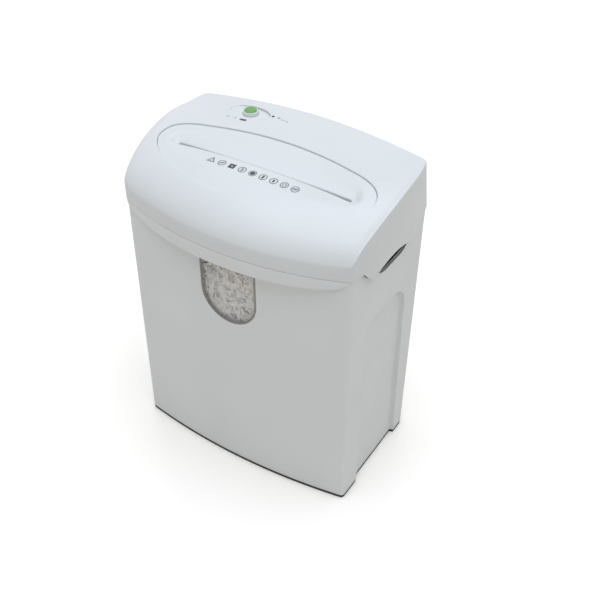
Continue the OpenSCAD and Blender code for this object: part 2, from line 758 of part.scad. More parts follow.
module idler_gear_1() color(nylon_c) {
    gear(idler_1_at, first_gear, first_module, second_phase, slab_a, gear_w, pin_r + run_fit);
    gear(idler_1_at, second_pinion, second_module, second_phase, slab_a + gear_w, gear_w + slab_gap,
        pin_r + run_fit);
}

module idler_gear_2() color(nylon_c) {
    gear(idler_2_at, second_gear, second_module, last_phase, slab_b, gear_w, pin_r + run_fit);
    gear(idler_2_at, last_pinion, last_module, last_phase, slab_b + gear_w, gear_w + slab_gap,
        pin_r + run_fit);
}

module idler_pins() color(steel_c) for (at = [idler_1_at, idler_2_at])
    bar_x(plate_in, at, pin_r, cover_x + cover_t - plate_in);

// Places of the tie rods, as offsets from a shaft
rod_at = [for (z = [-rod_up, rod_up]) each [
    front_shaft + [-rod_out, z], rear_shaft + [rod_out, z]]];
foot_at = [[plate_in - 7, front_shaft[0] - rod_out - 2], [plate_in - 7, rear_shaft[0] + rod_out + 2]];
foot_w = 9;
plate_r = 6;

module plate_holes() {
    for (at = [front_shaft, rear_shaft]) translate(at) circle(bush_r);
    for (at = rod_at) translate(at) circle(rod_r - 0.5);
}

module plate_foot() for (p = foot_at) difference() {
    translate([p[0] - 6, p[1] - foot_w / 2, tub_floor]) cube([plate_in - p[0] + 6 + eps, foot_w, plate_t]);
    translate([p[0], p[1], tub_floor - 1]) cylinder(r = screw_r, h = plate_t + 2);
}

// Outline shared by both plates: from the front feet to the rear feet
module plate_outline() hull() {
    for (p = foot_at) translate([p[1] - foot_w / 2, tub_floor]) square([foot_w, 2]);
    for (at = [rod_at[2], rod_at[3]]) translate(at) circle(plate_r, $fn = 32);
}

module side_plate_left() color(steel_c) mirror([1, 0, 0]) {
    along_x(plate_in, plate_t) difference() {
        plate_outline();
        plate_holes();
    }
    plate_foot();
}

// A point just outside a gear, in a given direction
function beside(at, teeth, m, a) = at + (m * (teeth / 2 + 1) + post_r + 2) * [cos(a), sin(a)];
post_r = 4;
post_at = [beside(rear_shaft, last_gear, last_module, 208), beside(idler_1_at, first_gear, first_module, 145),
    motor_at + (motor_r + 1) * [cos(310), sin(310)]];
bolt_circle = motor_r - 8;
motor_bolts = [for (a = [195, 265, 335]) motor_at + bolt_circle * [cos(a), sin(a)]];

module side_plate_right() color(steel_c) {
    along_x(plate_in, plate_t) difference() {
        union() {
            plate_outline();
            hull() {
                for (at = [rod_at[3], post_at[1], post_at[2], rod_at[1]])
                    translate(at) circle(plate_r, $fn = 32);
                translate(idler_1_at) circle(8, $fn = 32);
                translate(motor_at + [20, 2]) circle(8, $fn = 32);
            }
        }
        plate_holes();
        for (at = [idler_1_at, idler_2_at]) translate(at) circle(pin_r);
        for (at = motor_bolts) translate(at) circle(screw_r + 0.2);
        translate(motor_at) circle(8);
    }
    plate_foot();
}

module tie_rods() color(steel_c) for (at = rod_at) {
    bar_x(-plate_in, at, rod_r, 2 * plate_in);
    for (x = [-plate_out - 4, plate_in]) bar_x(x, at, rod_r - 0.5, plate_t + 4);
}

module tie_rod_nuts() color(steel_c) for (at = rod_at, x = [-plate_out - 2.4, plate_out])
    along_x(x, 2.4) translate(at) difference() {
        circle(rod_r + 1.2, $fn = 6);
        circle(rod_r - 0.5);
    }

module shaft_bushes() color([0.72, 0.58, 0.35]) for (at = [front_shaft, rear_shaft]) both() {
    along_x(plate_in, plate_t) translate(at) difference() {
        circle(bush_r);
        circle(journal_r + run_fit);
    }
    along_x(plate_out, bush_rim) translate(at) difference() {
        circle(bush_r + 1.5);
        circle(journal_r + run_fit);
    }
}

// Stripper comb: a bar on two tie rods with a finger between every pair of discs
module stripper(at, out, first) {
    finger_w = disc_pitch - disc_w - 2 * comb_gap;
    difference() {
        union() {
            along_x(-stack_half + 1, 2 * stack_half - 2) difference() {
                comb_bar(at, out);
                translate(at) circle(disc_r + comb_gap);
            }
            for (k = [0 : disc_count - 2])
                along_x(first + (k + 0.5) * disc_pitch - finger_w / 2, finger_w) difference() {
                    comb_finger(at, out);
                    translate(at) circle(spacer_r + comb_gap);
                }
        }
        for (z = [-rod_up, rod_up]) bar_x(-plate_out, at + [out * rod_out, z], comb_bore, 2 * plate_out);
    }
}

module comb_bar(at, out) translate(at + [out * rod_out - comb_half, -rod_up - comb_half])
    square([2 * comb_half, 2 * (rod_up + comb_half)]);
module comb_finger(at, out) translate(at) polygon([
    [out * rod_out, rod_up + 4], [out * 3, spacer_r + 3],
    [out * 3, -spacer_r - 3], [out * rod_out, -rod_up - 4]]);

module stripper_front() color(dark_c) stripper(front_shaft, -1, -stack_half + disc_pitch / 4);
module stripper_rear() color(dark_c) stripper(rear_shaft, 1, -stack_half + disc_pitch * 3 / 4);

module gearbox_cover() color(dark_c) {
    along_x(cover_x, cover_t) difference() {
        hull() {
            translate(rear_shaft) circle(12, $fn = 32);
            translate(idler_1_at) circle(9, $fn = 32);
            translate(idler_2_at + [0, -14]) circle(9, $fn = 32);
            for (at = post_at) translate(at) circle(post_r + 1, $fn = 32);
        }
        translate(rear_shaft) circle(stub_r + run_fit);
        for (at = [idler_1_at, idler_2_at]) translate(at) circle(pin_r);
        for (at = post_at) translate(at) circle(screw_r);
    }
    for (at = post_at) along_x(plate_out, cover_x - plate_out) translate(at) difference() {
        circle(post_r);
        circle(screw_r);
    }
}

module cover_screws() color(steel_c) for (at = post_at) translate([cover_x + cover_t, at[0], at[1]])
    rotate([0, -90, 0]) screw(screw_r, cover_x + cover_t - plate_out);

module retaining_clips() color(steel_c) along_x(slab_end, 0.7) translate(rear_shaft) difference() {
    circle(stub_r + 2.2);
    circle(stub_r);
}

// ---------------------------------------------------------------- motor

module motor_can() color(steel_c) along_x(can_start, motor_len) translate(motor_at) difference() {
    circle(motor_r);
    circle(motor_r - can_t);
}

module motor_magnets() color(dark_c) for (turn = [0, 180])
    along_x(can_start + 12, motor_len - 24) translate(motor_at) rotate(turn) difference() {
        intersection() {
            circle(motor_r - can_t);
            translate([0, -30]) square([40, 60]);
        }
        circle(core_r + 1);
        translate([-1, -40]) square([8, 80]);
    }

module bell(x, length, wall) along_x(x, length) translate(motor_at) difference() {
    circle(motor_r);
    circle(wall);
}

module motor_drive_bell() color(steel_c) difference() {
    union() {
        bell(can_end, drive_bell - 3, motor_r - can_t);
        bell(plate_in - 3, 3, motor_shaft_r + run_fit);
        along_x(can_end + 3, drive_bell - 3) translate(motor_at) difference() {
            circle(7);
            circle(motor_shaft_r + run_fit);
        }
    }
    for (at = motor_bolts) bar_x(plate_in - 4, at, screw_r, 5);
}

module motor_brush_bell() color(dark_c) {
    bell(bell_start + 3, brush_bell - 3, motor_r - can_t);
    bell(bell_start, 3, motor_shaft_r + run_fit);
    along_x(bell_start, 7) translate(motor_at) difference() {
        circle(7);
        circle(motor_shaft_r + run_fit);
    }
}

commutator_r = 8;

module motor_brushes() color([0.25, 0.24, 0.24]) for (side = [-1, 1])
    translate([bell_start + 11, motor_y, motor_z + side * (motor_r - can_t + commutator_r) / 2])
        cube([5, 5, motor_r - can_t - commutator_r - 0.6], center = true);

module motor_screws() color(steel_c) for (at = motor_bolts) translate([plate_out, at[0], at[1]])
    rotate([0, -90, 0]) screw(screw_r, plate_t + 3);

module motor_armature() color([0.66, 0.40, 0.26]) {
    bar_x(bell_start - 12, motor_at, motor_shaft_r, slab_a + gear_w - bell_start + 12);
    along_x(can_start + 10, motor_len - 20) translate(motor_at) difference() {
        circle(core_r);
        for (k = [0 : 11]) rotate(30 * k) translate([core_r - 4, -0.8]) square([6, 1.6]);
    }
    bar_x(bell_start + 8, motor_at, commutator_r, 10);
}

module motor_pinion() color(steel_c)
    gear(motor_at, first_pinion, first_module, first_phase, slab_a, gear_w, motor_shaft_r);

fan_r = motor_r - 7;
fan_hub = 6;
fan_n = 8;
blade_t = 1.6;

module motor_fan() color(dark_c) along_x(bell_start - 9, 7) translate(motor_at) difference() {
    union() {
        circle(fan_hub);
        for (k = [0 : fan_n - 1]) rotate(360 * k / fan_n)
            translate([fan_hub - 2, -blade_t / 2]) square([fan_r - fan_hub + 2, blade_t]);
    }
    circle(motor_shaft_r);
}

// ---------------------------------------------------------------- electronics

supply_size = [20, 16, 15];
relay_size = [16, 12, 18];
terminal_size = [40, 8, 9];
capacitor_r = 6;
capacitor_h = 20;
board_posts = [for (x = [4, board_size[0] - 4], y = [4, board_size[1] - 4]) board_at + [x, y]];

module control_board() color([0.16, 0.36, 0.22]) difference() {
    translate([board_at[0], board_at[1], board_z]) cube([board_size[0], board_size[1], board_t]);
    for (p = board_posts) translate([p[0], p[1], board_z - 1]) cylinder(r = screw_r, h = 5);
}

module board_parts() color([0.30, 0.31, 0.33]) translate([board_at[0], board_at[1], board_z + board_t]) {
    translate([10, 8, 0]) cube(supply_size);
    translate([36, 8, 0]) cube(relay_size);
    translate([62, 14, 0]) cylinder(r = capacitor_r, h = capacitor_h);
    translate([12, 30, 0]) cube(terminal_size);
}

module board_screws() color(steel_c) for (p = board_posts) {
    translate([p[0], p[1], tub_floor]) difference() {
        cylinder(r = 3, h = board_z - tub_floor);
        translate([0, 0, 4]) cylinder(r = screw_r, h = board_z);
    }
    translate([p[0], p[1], board_z + board_t]) rotate([180, 0, 0]) screw(screw_r, 6);
}

plunger_x = -70;
plunger_at = [plunger_x, (front_line(plunger_x, front_bow) + front_line(plunger_x, panel_bow)) / 2 + shell];
plunger_r = 2.4;
plunger_up = 1.5;

module interlock_plunger() color(nylon_c) translate([plunger_at[0], plunger_at[1], 0]) {
    low = lip_z(plunger_at[0]) + 1.2 + shell * 0.8 + 0.1;
    translate([0, 0, low]) cylinder(r = plunger_r, h = flange_top + 6 - low);
    translate([0, 0, flange_top + 4.3]) cylinder(r = plunger_r + 1, h = 1.7);
}

module interlock_switch() color(dark_c) translate([plunger_at[0] - 10, plunger_at[1] - 3, flange_top]) {
    difference() {
        cube([20, 6 + 8, 16]);
        translate([5, -1, -1]) cube([10, 11, 7 + plunger_up + 0.5]);
    }
}

module cord_gland() color(dark_c) translate([gland_x, 0, gland_z]) rotate([-90, 0, 0]) difference() {
    union() {
        translate([0, 0, back_y - 6]) cylinder(r = gland_r, h = 12);
        translate([0, 0, back_y - 7]) cylinder(r = gland_r + 2, h = 2.4);
    }
    cylinder(r = 3.4, h = 200);
}

// ---------------------------------------------------------------- fasteners

module frame_screws() color(steel_c) for (p = foot_at) both()
    translate([p[0], p[1], tub_z]) screw(screw_r, tub_t + plate_t);

module hood_screws() color(steel_c) for (p = boss_at) both()
    translate([p[0], p[1], flange_z]) screw(screw_r, flange_t + 10);

// ---------------------------------------------------------------- nodes

bin();
window_pane();
hood();
feed_insert();
base_tray();
switch_dish();
switch_knob();
knob_cap();
switch_body();
indicator_lenses();
side_plate_left();
side_plate_right();
tie_rods();
tie_rod_nuts();
front_cutter();
rear_cutter();
stripper_front();
stripper_rear();
shaft_bushes();
sync_gear_front();
sync_gear_rear();
final_gear();
idler_gear_1();
idler_gear_2();
idler_pins();
gearbox_cover();
cover_screws();
retaining_clips();
motor_can();
motor_magnets();
motor_drive_bell();
motor_brush_bell();
motor_brushes();
motor_screws();
motor_armature();
motor_pinion();
motor_fan();
control_board();
board_parts();
board_screws();
interlock_switch();
interlock_plunger();
paper_sensors();
cord_gland();
frame_screws();
hood_screws();
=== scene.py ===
import bisect
import json
import math
import random

import bmesh
import bpy
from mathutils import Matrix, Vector, kdtree
from mathutils.geometry import delaunay_2d_cdt


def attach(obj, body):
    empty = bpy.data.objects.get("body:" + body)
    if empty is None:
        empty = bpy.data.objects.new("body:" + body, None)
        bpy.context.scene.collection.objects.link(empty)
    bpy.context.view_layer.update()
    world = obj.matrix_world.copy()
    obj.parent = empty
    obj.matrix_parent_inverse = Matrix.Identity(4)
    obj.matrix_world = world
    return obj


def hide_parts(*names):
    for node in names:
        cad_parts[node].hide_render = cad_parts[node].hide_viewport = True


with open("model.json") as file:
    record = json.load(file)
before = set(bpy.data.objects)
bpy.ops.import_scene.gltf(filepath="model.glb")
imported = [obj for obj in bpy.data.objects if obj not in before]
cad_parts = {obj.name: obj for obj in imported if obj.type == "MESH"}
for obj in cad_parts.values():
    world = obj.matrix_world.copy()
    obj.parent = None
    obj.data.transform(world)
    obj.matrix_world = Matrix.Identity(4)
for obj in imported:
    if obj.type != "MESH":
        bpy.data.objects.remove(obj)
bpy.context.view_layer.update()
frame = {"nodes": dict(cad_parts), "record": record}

# Looks of the cross-cut paper shredder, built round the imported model. The outer shells are remade
# as finer smooth skins, from the part's own sizes and from some of their own. Sizes are in
# millimetres, as in the part's source, and become metres when a mesh is made.
MM = 0.001
random.seed(11)


# -------- sizes shared with the part

CORNER_X, FRONT_Y, BACK_Y = 149.0, 75.0, 97.0  # the corners, to the side, the front and the back
FRONT_BOW, SIDE_BOW, BACK_BOW = 30.0, 9.0, 8.0
CORNER_R, SHELL, SEAM_GAP = 9.0, 2.5, 0.3
SEAM_Z, APRON_H = 337.0, 18.0
CREASE_Z = SEAM_Z + APRON_H
DOME_H, DOME_RUN, BACK_RISE, BACK_SPAN = 48.5, 110.0, 6.8, 90.0
BACK_DROP, DROP_START, DROP_SPAN, BACK_LEAN = 5.2, 80.0, 65.0, 12.0
SHOULDER_DROP, SHOULDER_FADE, SHOULDER_START, CREASE_SOFT = 3.2, 45.0, 25.0, 1.5
SKIRT_DROP, GRIP_RISE, GRIP_LEN, GRIP_Y = 15.0, 9.0, 76.0, 3.0
SKIRT_START, SKIRT_RUN, SKIRT_END, SKIRT_END_RUN = 17.0, 18.0, 6.0, 30.0
SLOT_LEN, SLOT_W, SLOT_Y = 224.0, 5.0, -17.0
EYE_HALF, EYE_BACK, EYE_FRONT, EYE_STEP = 138.0, 46.0, 53.0, 2.0
EYE_BLUNT_BACK, EYE_BLUNT_FRONT = 0.8, 1.15
VALLEY, PANEL_T, DROP_FIT, THROAT_Z = 8.0, 2.0, 0.2, 372.7
BASIN_HALF, BASIN_BACK, BASIN_FRONT = EYE_HALF - 12, EYE_BACK - 11, EYE_FRONT - 22
PANEL_BOW, BIN_SIDE_BOW, FOOT_BACK, FOOT_BACK_BOW, REAR_R = 13.5, 0.3, 88.5, 0.5, 15.0
LIP_H, LIP_TAPER = 19.0, 8.0
SCOOP_BEHIND, SCOOP_HALF = 13.0, 45.0
ARCH_FRONT, ARCH_RAMP, ARCH_BACK, ARCH_R, ARCH_TOP = -46.0, 16.0, 56.0, 30.0, 253.0
WINDOW_X, WINDOW_Z, PANE_T = 37.5, 227.5, 1.6
WINDOW_TOP = SEAM_Z - LIP_H - 6
SWITCH = (-69.0, 64.5)
DISH_HALF, DISH_W, DISH_DEPTH, DISH_T = 26.8, 11.8, 3.6, 1.4
KNOB_H, KNOB_R, KNOB_TRAVEL, STEM_R = 3.7, 9.8, 7.0, 2.0
CAP_SEAT, CAP_R, CAP_UP = 1.6, 7.5, 1.1
LENSES, LENS_R = [(-39.0, 66.5), (-31.0, 66.5)], 1.6
VENTS = [20 + 7 * i for i in range(9)]
VENT_W, VENT_LOW, VENT_HIGH = 3.0, SEAM_Z + 20, SEAM_Z + 46
GLAND_X, GLAND_Z, GLAND_R = 45 - CORNER_X, SEAM_Z + 17, 5.5

# -------- sizes of the skins

EDGE_ROUND, RIM_ROUND, HOLE_ROUND, SLOT_ROUND = 1.8, 0.7, 0.5, 1.1
EDGE_START = 18.0  # the roof's rounded edge comes in over this length from the front
SHOULDER_W, SHOULDER_CREASE = 7.0, 0.55  # a crease of 0 starts the shoulder smoothly
EYE_ROUND, EYE_GAP = 1.3, 0.5
VALLEY_FRONT, BASIN_END = 0.42, 12.0  # the valley in front of the slot, and at its ends
FOOT_R, FLOOR_T = 4.5, 6.0
FOOT_GAP, FOOT_ROUND, FOOT_IN, FOOT_W = 4.2, 0.5, 0.4, 6.0
SCOOP_DEPTH, ARCH_DEPTH, ARCH_EDGE = 29.4, 4.8, 1.0
SCOOP_SLANT = 2.2  # how steeply the rim falls inward at a grip, out of sight
NOTCH, NOTCH_END = 0.07, 0.05  # shares of the skirt's drop where the rim starts to go in behind it
REBATE_ROOM, REBATE_RATE, REBATE_FADE = 0.5, 30, 3.0
LEDGE_START, LEDGE_RUN, LEDGE_BACK = 6.0, 8.0, 6.0
SKIRT_FIT, RIM_FACE = 0.2, 1.8  # the ledge lies this far under the skirt, and under the rim
CORNER_RUN = 3.0  # the length beside each corner that has no scoop
LIP_ROUND, LIP_START, LEDGE_SLOPE, RIM_TOP = 0.9, 1.2, 0.8, 0.5
PANE_IN, PANE_SEAT, PANE_EDGE_W = 0.7, SHELL + 0.3, 2.7


def arc_radius(half, sag):
    return (half * half + sag * sag) / (2 * sag)


FRONT_R = arc_radius(CORNER_X, FRONT_BOW)
FRONT_C = FRONT_R - FRONT_Y - FRONT_BOW
SIDE_R = arc_radius((FRONT_Y + BACK_Y) / 2, SIDE_BOW)
SIDE_C = (CORNER_X + SIDE_BOW - SIDE_R, (BACK_Y - FRONT_Y) / 2)
BACK_TOP = BACK_Y - BACK_LEAN


# -------- lines and points in a plane

def lerp(a, b, t):
    return a + (b - a) * t


def blend(p, q, t):
    """A point between two."""
    return tuple(lerp(a, b, t) for a, b in zip(p, q))


def line(p, q, n):
    """n points from one towards another, which leave out the other."""
    return [blend(p, q, k / n) for k in range(n)]


def clamp01(t):
    return min(1.0, max(0.0, t))


def ease(t):
    t = clamp01(t)
    return t * t * (3 - 2 * t)


def meet(c1, r1, c2, r2, side):
    """Where two circles meet; side picks which of the two points."""
    dx, dy = c2[0] - c1[0], c2[1] - c1[1]
    d = math.hypot(dx, dy)
    a = (r1 * r1 - r2 * r2 + d * d) / (2 * d)
    h = side * math.sqrt(r1 * r1 - a * a)
    return (c1[0] + (a * dx - h * dy) / d, c1[1] + (a * dy + h * dx) / d)


def arc(c, r, a0, a1, n, end=0):
    """n points round an arc, which leave out its end; with end=1 the end is there too."""
    turns = [lerp(a0, a1, i / n) for i in range(n + end)]
    return [(c[0] + r * math.cos(a), c[1] + r * math.sin(a)) for a in turns]


def circle(c, r, count=40):
    return arc(c, r, 0, 2 * math.pi, count)


def rounded_box(c, half_x, half_y, r, n, end=0):
    """A rectangle with rounded corners, in n points a corner."""
    points = []
    for sx, sy, a0 in ((1, 1, 0), (-1, 1, 90), (-1, -1, 180), (1, -1, 270)):
        points += arc((c[0] + sx * (half_x - r), c[1] + sy * (half_y - r)), r,
                      math.radians(a0), math.radians(a0 + 90), n, end)
    return points


def quarter(steps):
    """A quarter round in equal turns, as pairs that go from (1, 0) to (0, 1)."""
    turns = [k / steps * math.pi / 2 for k in range(steps + 1)]
    return [(1 - math.sin(a), 1 - math.cos(a)) for a in turns]


ROW = 0.87  # a staggered grid's rows are this many steps apart


def grid(x0, x1, y0, y1, step):
    """Staggered points over a rectangle."""
    points = []
    for j in range(int((y1 - y0) / (step * ROW)) + 1):
        y = y0 + j * step * ROW
        points += [(x0 + (i + 0.5 * (j % 2)) * step, y) for i in range(int((x1 - x0) / step) + 1)]
    return points


def dense(loop, step):
    """The same closed line with corners no further apart than about a step."""
    points = []
    for a, b in zip(loop, loop[1:] + loop[:1]):
        points += line(a, b, max(1, round(math.dist(a, b) / step)))
    return points


# -------- the shredder's outlines

FRONT_N, FILLET_N, SIDE_N, BACK_N, TIGHTEST_R = 100, 12, 110, 84, 1.0


def outline(front, back, bow, inset):
    """A closed plan outline from the back middle round by the left, front and right.

    front and back are (corner distance, bow, corner radius); inset moves the whole line inwards.
    """
    rf = arc_radius(CORNER_X, front[1])
    rs = arc_radius((front[0] + back[0]) / 2, bow)
    rb = arc_radius(CORNER_X, back[1])
    cf = (0, rf - front[0] - front[1])
    cs = (CORNER_X + bow - rs, (back[0] - front[0]) / 2)
    cb = (0, back[0] + back[1] - rb)
    r1, r2 = max(front[2] - inset, TIGHTEST_R), max(back[2] - inset, TIGHTEST_R)
    f1 = meet(cf, rf - inset - r1, cs, rs - inset - r1, 1)
    f2 = meet(cs, rs - inset - r2, cb, rb - inset - r2, 1)

    def heading(a, b):
        return math.atan2(a[1] - b[1], a[0] - b[0])

    right = (arc(cf, rf - inset, -math.pi / 2, heading(f1, cf), FRONT_N)
             + arc(f1, r1, heading(f1, cf), heading(f1, cs), FILLET_N)
             + arc(cs, rs - inset, heading(f1, cs), heading(f2, cs), SIDE_N)
             + arc(f2, r2, heading(f2, cs), heading(f2, cb), FILLET_N)
             + arc(cb, rb - inset, heading(f2, cb), math.pi / 2, BACK_N))
    left = [(-x, y) for x, y in right[:0:-1]]
    return [(0, cb[1] + rb - inset)] + left + right


def head_outline(inset, t):
    """The hood's outline, from its rim at t = 0 to its top at t = 1."""
    return outline((FRONT_Y, FRONT_BOW, CORNER_R), (BACK_Y - BACK_LEAN * t, BACK_BOW, CORNER_R),
                   SIDE_BOW, inset)


def bin_outline(inset, t, bow):
    """The bin's outline, from its foot at t = 0 to its ledge at t = 1."""
    back_bow, back_r = lerp(FOOT_BACK_BOW, BACK_BOW, t), lerp(REAR_R, CORNER_R, t)
    return outline((FRONT_Y, bow, lerp(FOOT_R, CORNER_R, t)),
                   (lerp(FOOT_BACK, BACK_Y, t), back_bow, back_r), BIN_SIDE_BOW, inset)


def from_front(x, y):
    return FRONT_R - math.hypot(x, y - FRONT_C)


def side_x(y):
    return SIDE_C[0] + math.sqrt(SIDE_R ** 2 - (y - SIDE_C[1]) ** 2)


def dome(u):
    """The roof's rise above the crease, at a distance from the front."""
    def part(v):
        return math.sqrt(1 - (1 - clamp01((v + CREASE_SOFT) / (DOME_RUN + CREASE_SOFT))) ** 2)
    return DOME_H * (part(u) - part(0)) / (1 - part(0))


def roof_z(x, y):
    u = max(0.0, from_front(x, y))
    near = 1 - clamp01((side_x(y) - abs(x)) / SHOULDER_W)
    shoulder = (SHOULDER_DROP * near * lerp(SHOULDER_CREASE, 1, near)
                * ease((BACK_TOP - y) / SHOULDER_FADE) * clamp01(u / SHOULDER_START))
    return (CREASE_Z + dome(u) + BACK_RISE * max(0.0, u - DOME_RUN) / BACK_SPAN
            - BACK_DROP * ease((u - DROP_START) / DROP_SPAN) * (x / CORNER_X) ** 2 - shoulder)


def skirt_part(y):
    """How far down the hood's side skirt is: 0 at the seam, 1 where it is lowest."""
    return (ease((y + FRONT_Y - SKIRT_START) / SKIRT_RUN)
            * ease((BACK_Y - SKIRT_END - y) / SKIRT_END_RUN))


def skirt_z(y):
    return SEAM_Z - SKIRT_DROP * skirt_part(y)


def hood_rim_z(y):
    """The hood's lower edge, which rises over each hand grip."""
    return skirt_z(y) + GRIP_RISE * max(0.0, 1 - ((y - GRIP_Y) / (GRIP_LEN / 2)) ** 2)


EYE_N = 360


def eye_loop(grow):
    """The sunk panel's outline: an eye with blunt ends."""
    points = []
    for i in range(EYE_N):
        a = 2 * math.pi * i / EYE_N
        wide = abs(math.sin(a))
        reach = ((EYE_BACK + grow) * wide ** EYE_BLUNT_BACK if a < math.pi
                 else -(EYE_FRONT + grow) * wide ** EYE_BLUNT_FRONT)
        points.append(((EYE_HALF + grow) * math.cos(a), SLOT_Y + reach))
    return points


BASIN_ROUND, BASIN_CURL, VALLEY_ENDS = 0.45, 1.5, 3
LEAST_REACH = 0.01


def basin_depth(x, y):
    """How deep the feed panel is hollowed: deepest at the slot, and less in front of its middle."""
    if abs(x) >= BASIN_HALF:
        return 0.0
    d, end = y - SLOT_Y, (abs(x) / BASIN_HALF) ** VALLEY_ENDS
    shape = (1 - (x / BASIN_HALF) ** 2) ** BASIN_ROUND
    level = VALLEY * ease((BASIN_HALF - abs(x)) / BASIN_END)
    if d >= 0:
        return level * clamp01(1 - d / max(LEAST_REACH, BASIN_BACK * shape))
    reach = max(LEAST_REACH, BASIN_FRONT * shape)
    return lerp(VALLEY_FRONT, 1, end) * level * clamp01(1 + d / reach) ** BASIN_CURL


def panel_z(x, y):
    return roof_z(x, y) - EYE_STEP - basin_depth(x, y)


def lip_z(x):
    """The lower edge of the bin's front lip, which gets narrower towards the corners."""
    return SEAM_Z - LIP_H + LIP_TAPER * clamp01(abs(x) / (CORNER_X - CORNER_R)) ** 4


def scoop_part(y):
    """How far down a side's hand scoop the rim is: 0 beside the scoop, 1 in the middle of it."""
    if not -FRONT_Y + CORNER_RUN < y < BACK_Y - CORNER_RUN:
        return 0.0
    return max(0.0, 1 - (abs(y - GRIP_Y - SCOOP_BEHIND) / SCOOP_HALF) ** 5)


def rim_z(y, inset=0.0):
    """The bin's rim, on its outer face or at an inset from it."""
    skirt = skirt_part(y)
    start = SKIRT_DROP * min(skirt, NOTCH) * (1 - clamp01((skirt - NOTCH) / NOTCH_END))
    down = (SCOOP_DEPTH + SCOOP_SLANT * inset) * scoop_part(y)
    return SEAM_Z - SEAM_GAP - down - start


def rebate(y):
    """How far the side's top steps in behind the hood's skirt; it doesn't where a grip opens."""
    return ((SHELL + SEAM_GAP + REBATE_ROOM) * clamp01(REBATE_RATE * (skirt_part(y) - NOTCH))
            * clamp01((rim_z(y) - hood_rim_z(y)) / REBATE_FADE + 1))


def ledge_z(x, y):
    """Where the bin's wall ends below, and its lip or rebated rim begins."""
    if y > BACK_Y - CORNER_RUN:
        return SEAM_Z - LEDGE_BACK
    side = min(skirt_z(y) - SKIRT_FIT, rim_z(y) - RIM_FACE)
    return lerp(lip_z(x), side, ease((y + FRONT_Y + LEDGE_START) / LEDGE_RUN))


def panel_y(x):
    """The bin's front panel at a place across."""
    r = arc_radius(CORNER_X, PANEL_BOW)
    return r - FRONT_Y - PANEL_BOW - math.sqrt(r * r - x * x)


# -------- mesh building

def add(name, data):
    obj = bpy.data.objects.new(name, data)
    bpy.context.scene.collection.objects.link(obj)
    return obj


class Skin:
    """A mesh in millimetres. Corners that meet are merged at the end."""

    def __init__(self):
        self.bm = bmesh.new()

    def ring(self, points):
        return [self.bm.verts.new(p) for p in points]

    def face(self, corners, slot=0):
        self.bm.faces.new(corners).material_index = slot

    def strip(self, rings, slot=0):
        """Quads between each closed ring of points and the next."""
        made = [self.ring(r) for r in rings]
        for a, b in zip(made, made[1:]):
            for i in range(len(a)):
                j = (i + 1) % len(a)
                self.face((a[i], a[j], b[j], b[i]), slot)

    def lid(self, points, slot=0):
        self.face(self.ring(points), slot)

    def solid(self, rings, slot=0):
        self.strip(rings, slot)
        self.lid(rings[0], slot)
        self.lid(rings[-1], slot)

    def patch(self, boundary, holes, inner, place, slot=0, near=0.8, creases=()):
        """Triangles over a flat region with holes, each corner put in space by place(u, v).

        Inner points nearer than near to a line are left out; creases are open lines in the mesh.
        """
        loops = [boundary] + holes
        flat, edges = [], []
        for loop in loops:
            first = len(flat)
            flat += loop
            edges += [(first + i, first + (i + 1) % len(loop)) for i in range(len(loop))]
        for line in creases:
            edges += [(len(flat) + i, len(flat) + i + 1) for i in range(len(line) - 1)]
            flat += line
        tree = kdtree.KDTree(len(flat))
        for i, p in enumerate(flat):
            tree.insert((*p, 0), i)
        tree.balance()
        flat += [p for p in inner if tree.find((*p, 0))[2] > near]
        verts, _, tris, *_ = delaunay_2d_cdt([Vector(p) for p in flat], edges, [], 0, 1e-6, False)
        tests = [Region(loop) for loop in loops]
        made = [self.bm.verts.new(place(*v)) for v in verts]
        for t in tris:
            x, y = [sum(verts[i][axis] for i in t) / 3 for axis in (0, 1)]
            if tests[0].holds(x, y) and not any(test.holds(x, y) for test in tests[1:]):
                self.face([made[i] for i in t], slot)

    def piece(self, name, materials, body, sharp, merge=0.004):
        """Closes the mesh, scales it to metres, shades it and lets it ride on a body."""
        bmesh.ops.remove_doubles(self.bm, verts=self.bm.verts, dist=merge)
        bmesh.ops.dissolve_degenerate(self.bm, edges=self.bm.edges, dist=merge / 4)
        loose = [v for v in self.bm.verts if not v.link_faces]
        bmesh.ops.delete(self.bm, geom=loose, context="VERTS")
        bmesh.ops.recalc_face_normals(self.bm, faces=self.bm.faces)
        bmesh.ops.scale(self.bm, vec=(MM, MM, MM), verts=self.bm.verts)
        mesh = bpy.data.meshes.new(name)
        self.bm.to_mesh(mesh)
        self.bm.free()
        for m in materials:
            mesh.materials.append(m)
        mesh.polygons.foreach_set("use_smooth", [True] * len(mesh.polygons))
        mesh.set_sharp_from_angle(angle=math.radians(sharp))
        obj = add(name, mesh)
        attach(obj, body)
        return obj


class Region:
    """Tests whether a flat point lies inside a loop, whose edges are kept in level bands."""

    def __init__(self, loop):
        self.edges = {}
        self.y0 = min(p[1] for p in loop)
        for a, b in zip(loop, loop[1:] + loop[:1]):
            lo, hi = sorted((a[1], b[1]))
            for k in range(int(lo - self.y0), int(hi - self.y0) + 1):
                self.edges.setdefault(k, []).append((a, b))

    def holds(self, x, y):
        inside = False
        for a, b in self.edges.get(int(y - self.y0) if y >= self.y0 else -1, ()):
            if (a[1] > y) != (b[1] > y) and x < a[0] + (y - a[1]) / (b[1] - a[1]) * (b[0] - a[0]):
                inside = not inside
        return inside


def at(height, up=0.0):
    """What puts a plan point in space; height is a number or a function of x and y."""
    return lambda x, y: (x, y, (height(x, y) if callable(height) else height) + up)


def lift(loop, height, up=0.0):
    return [at(height, up)(x, y) for x, y in loop]


BORDER_STEP, HALVINGS = 8.0, 30


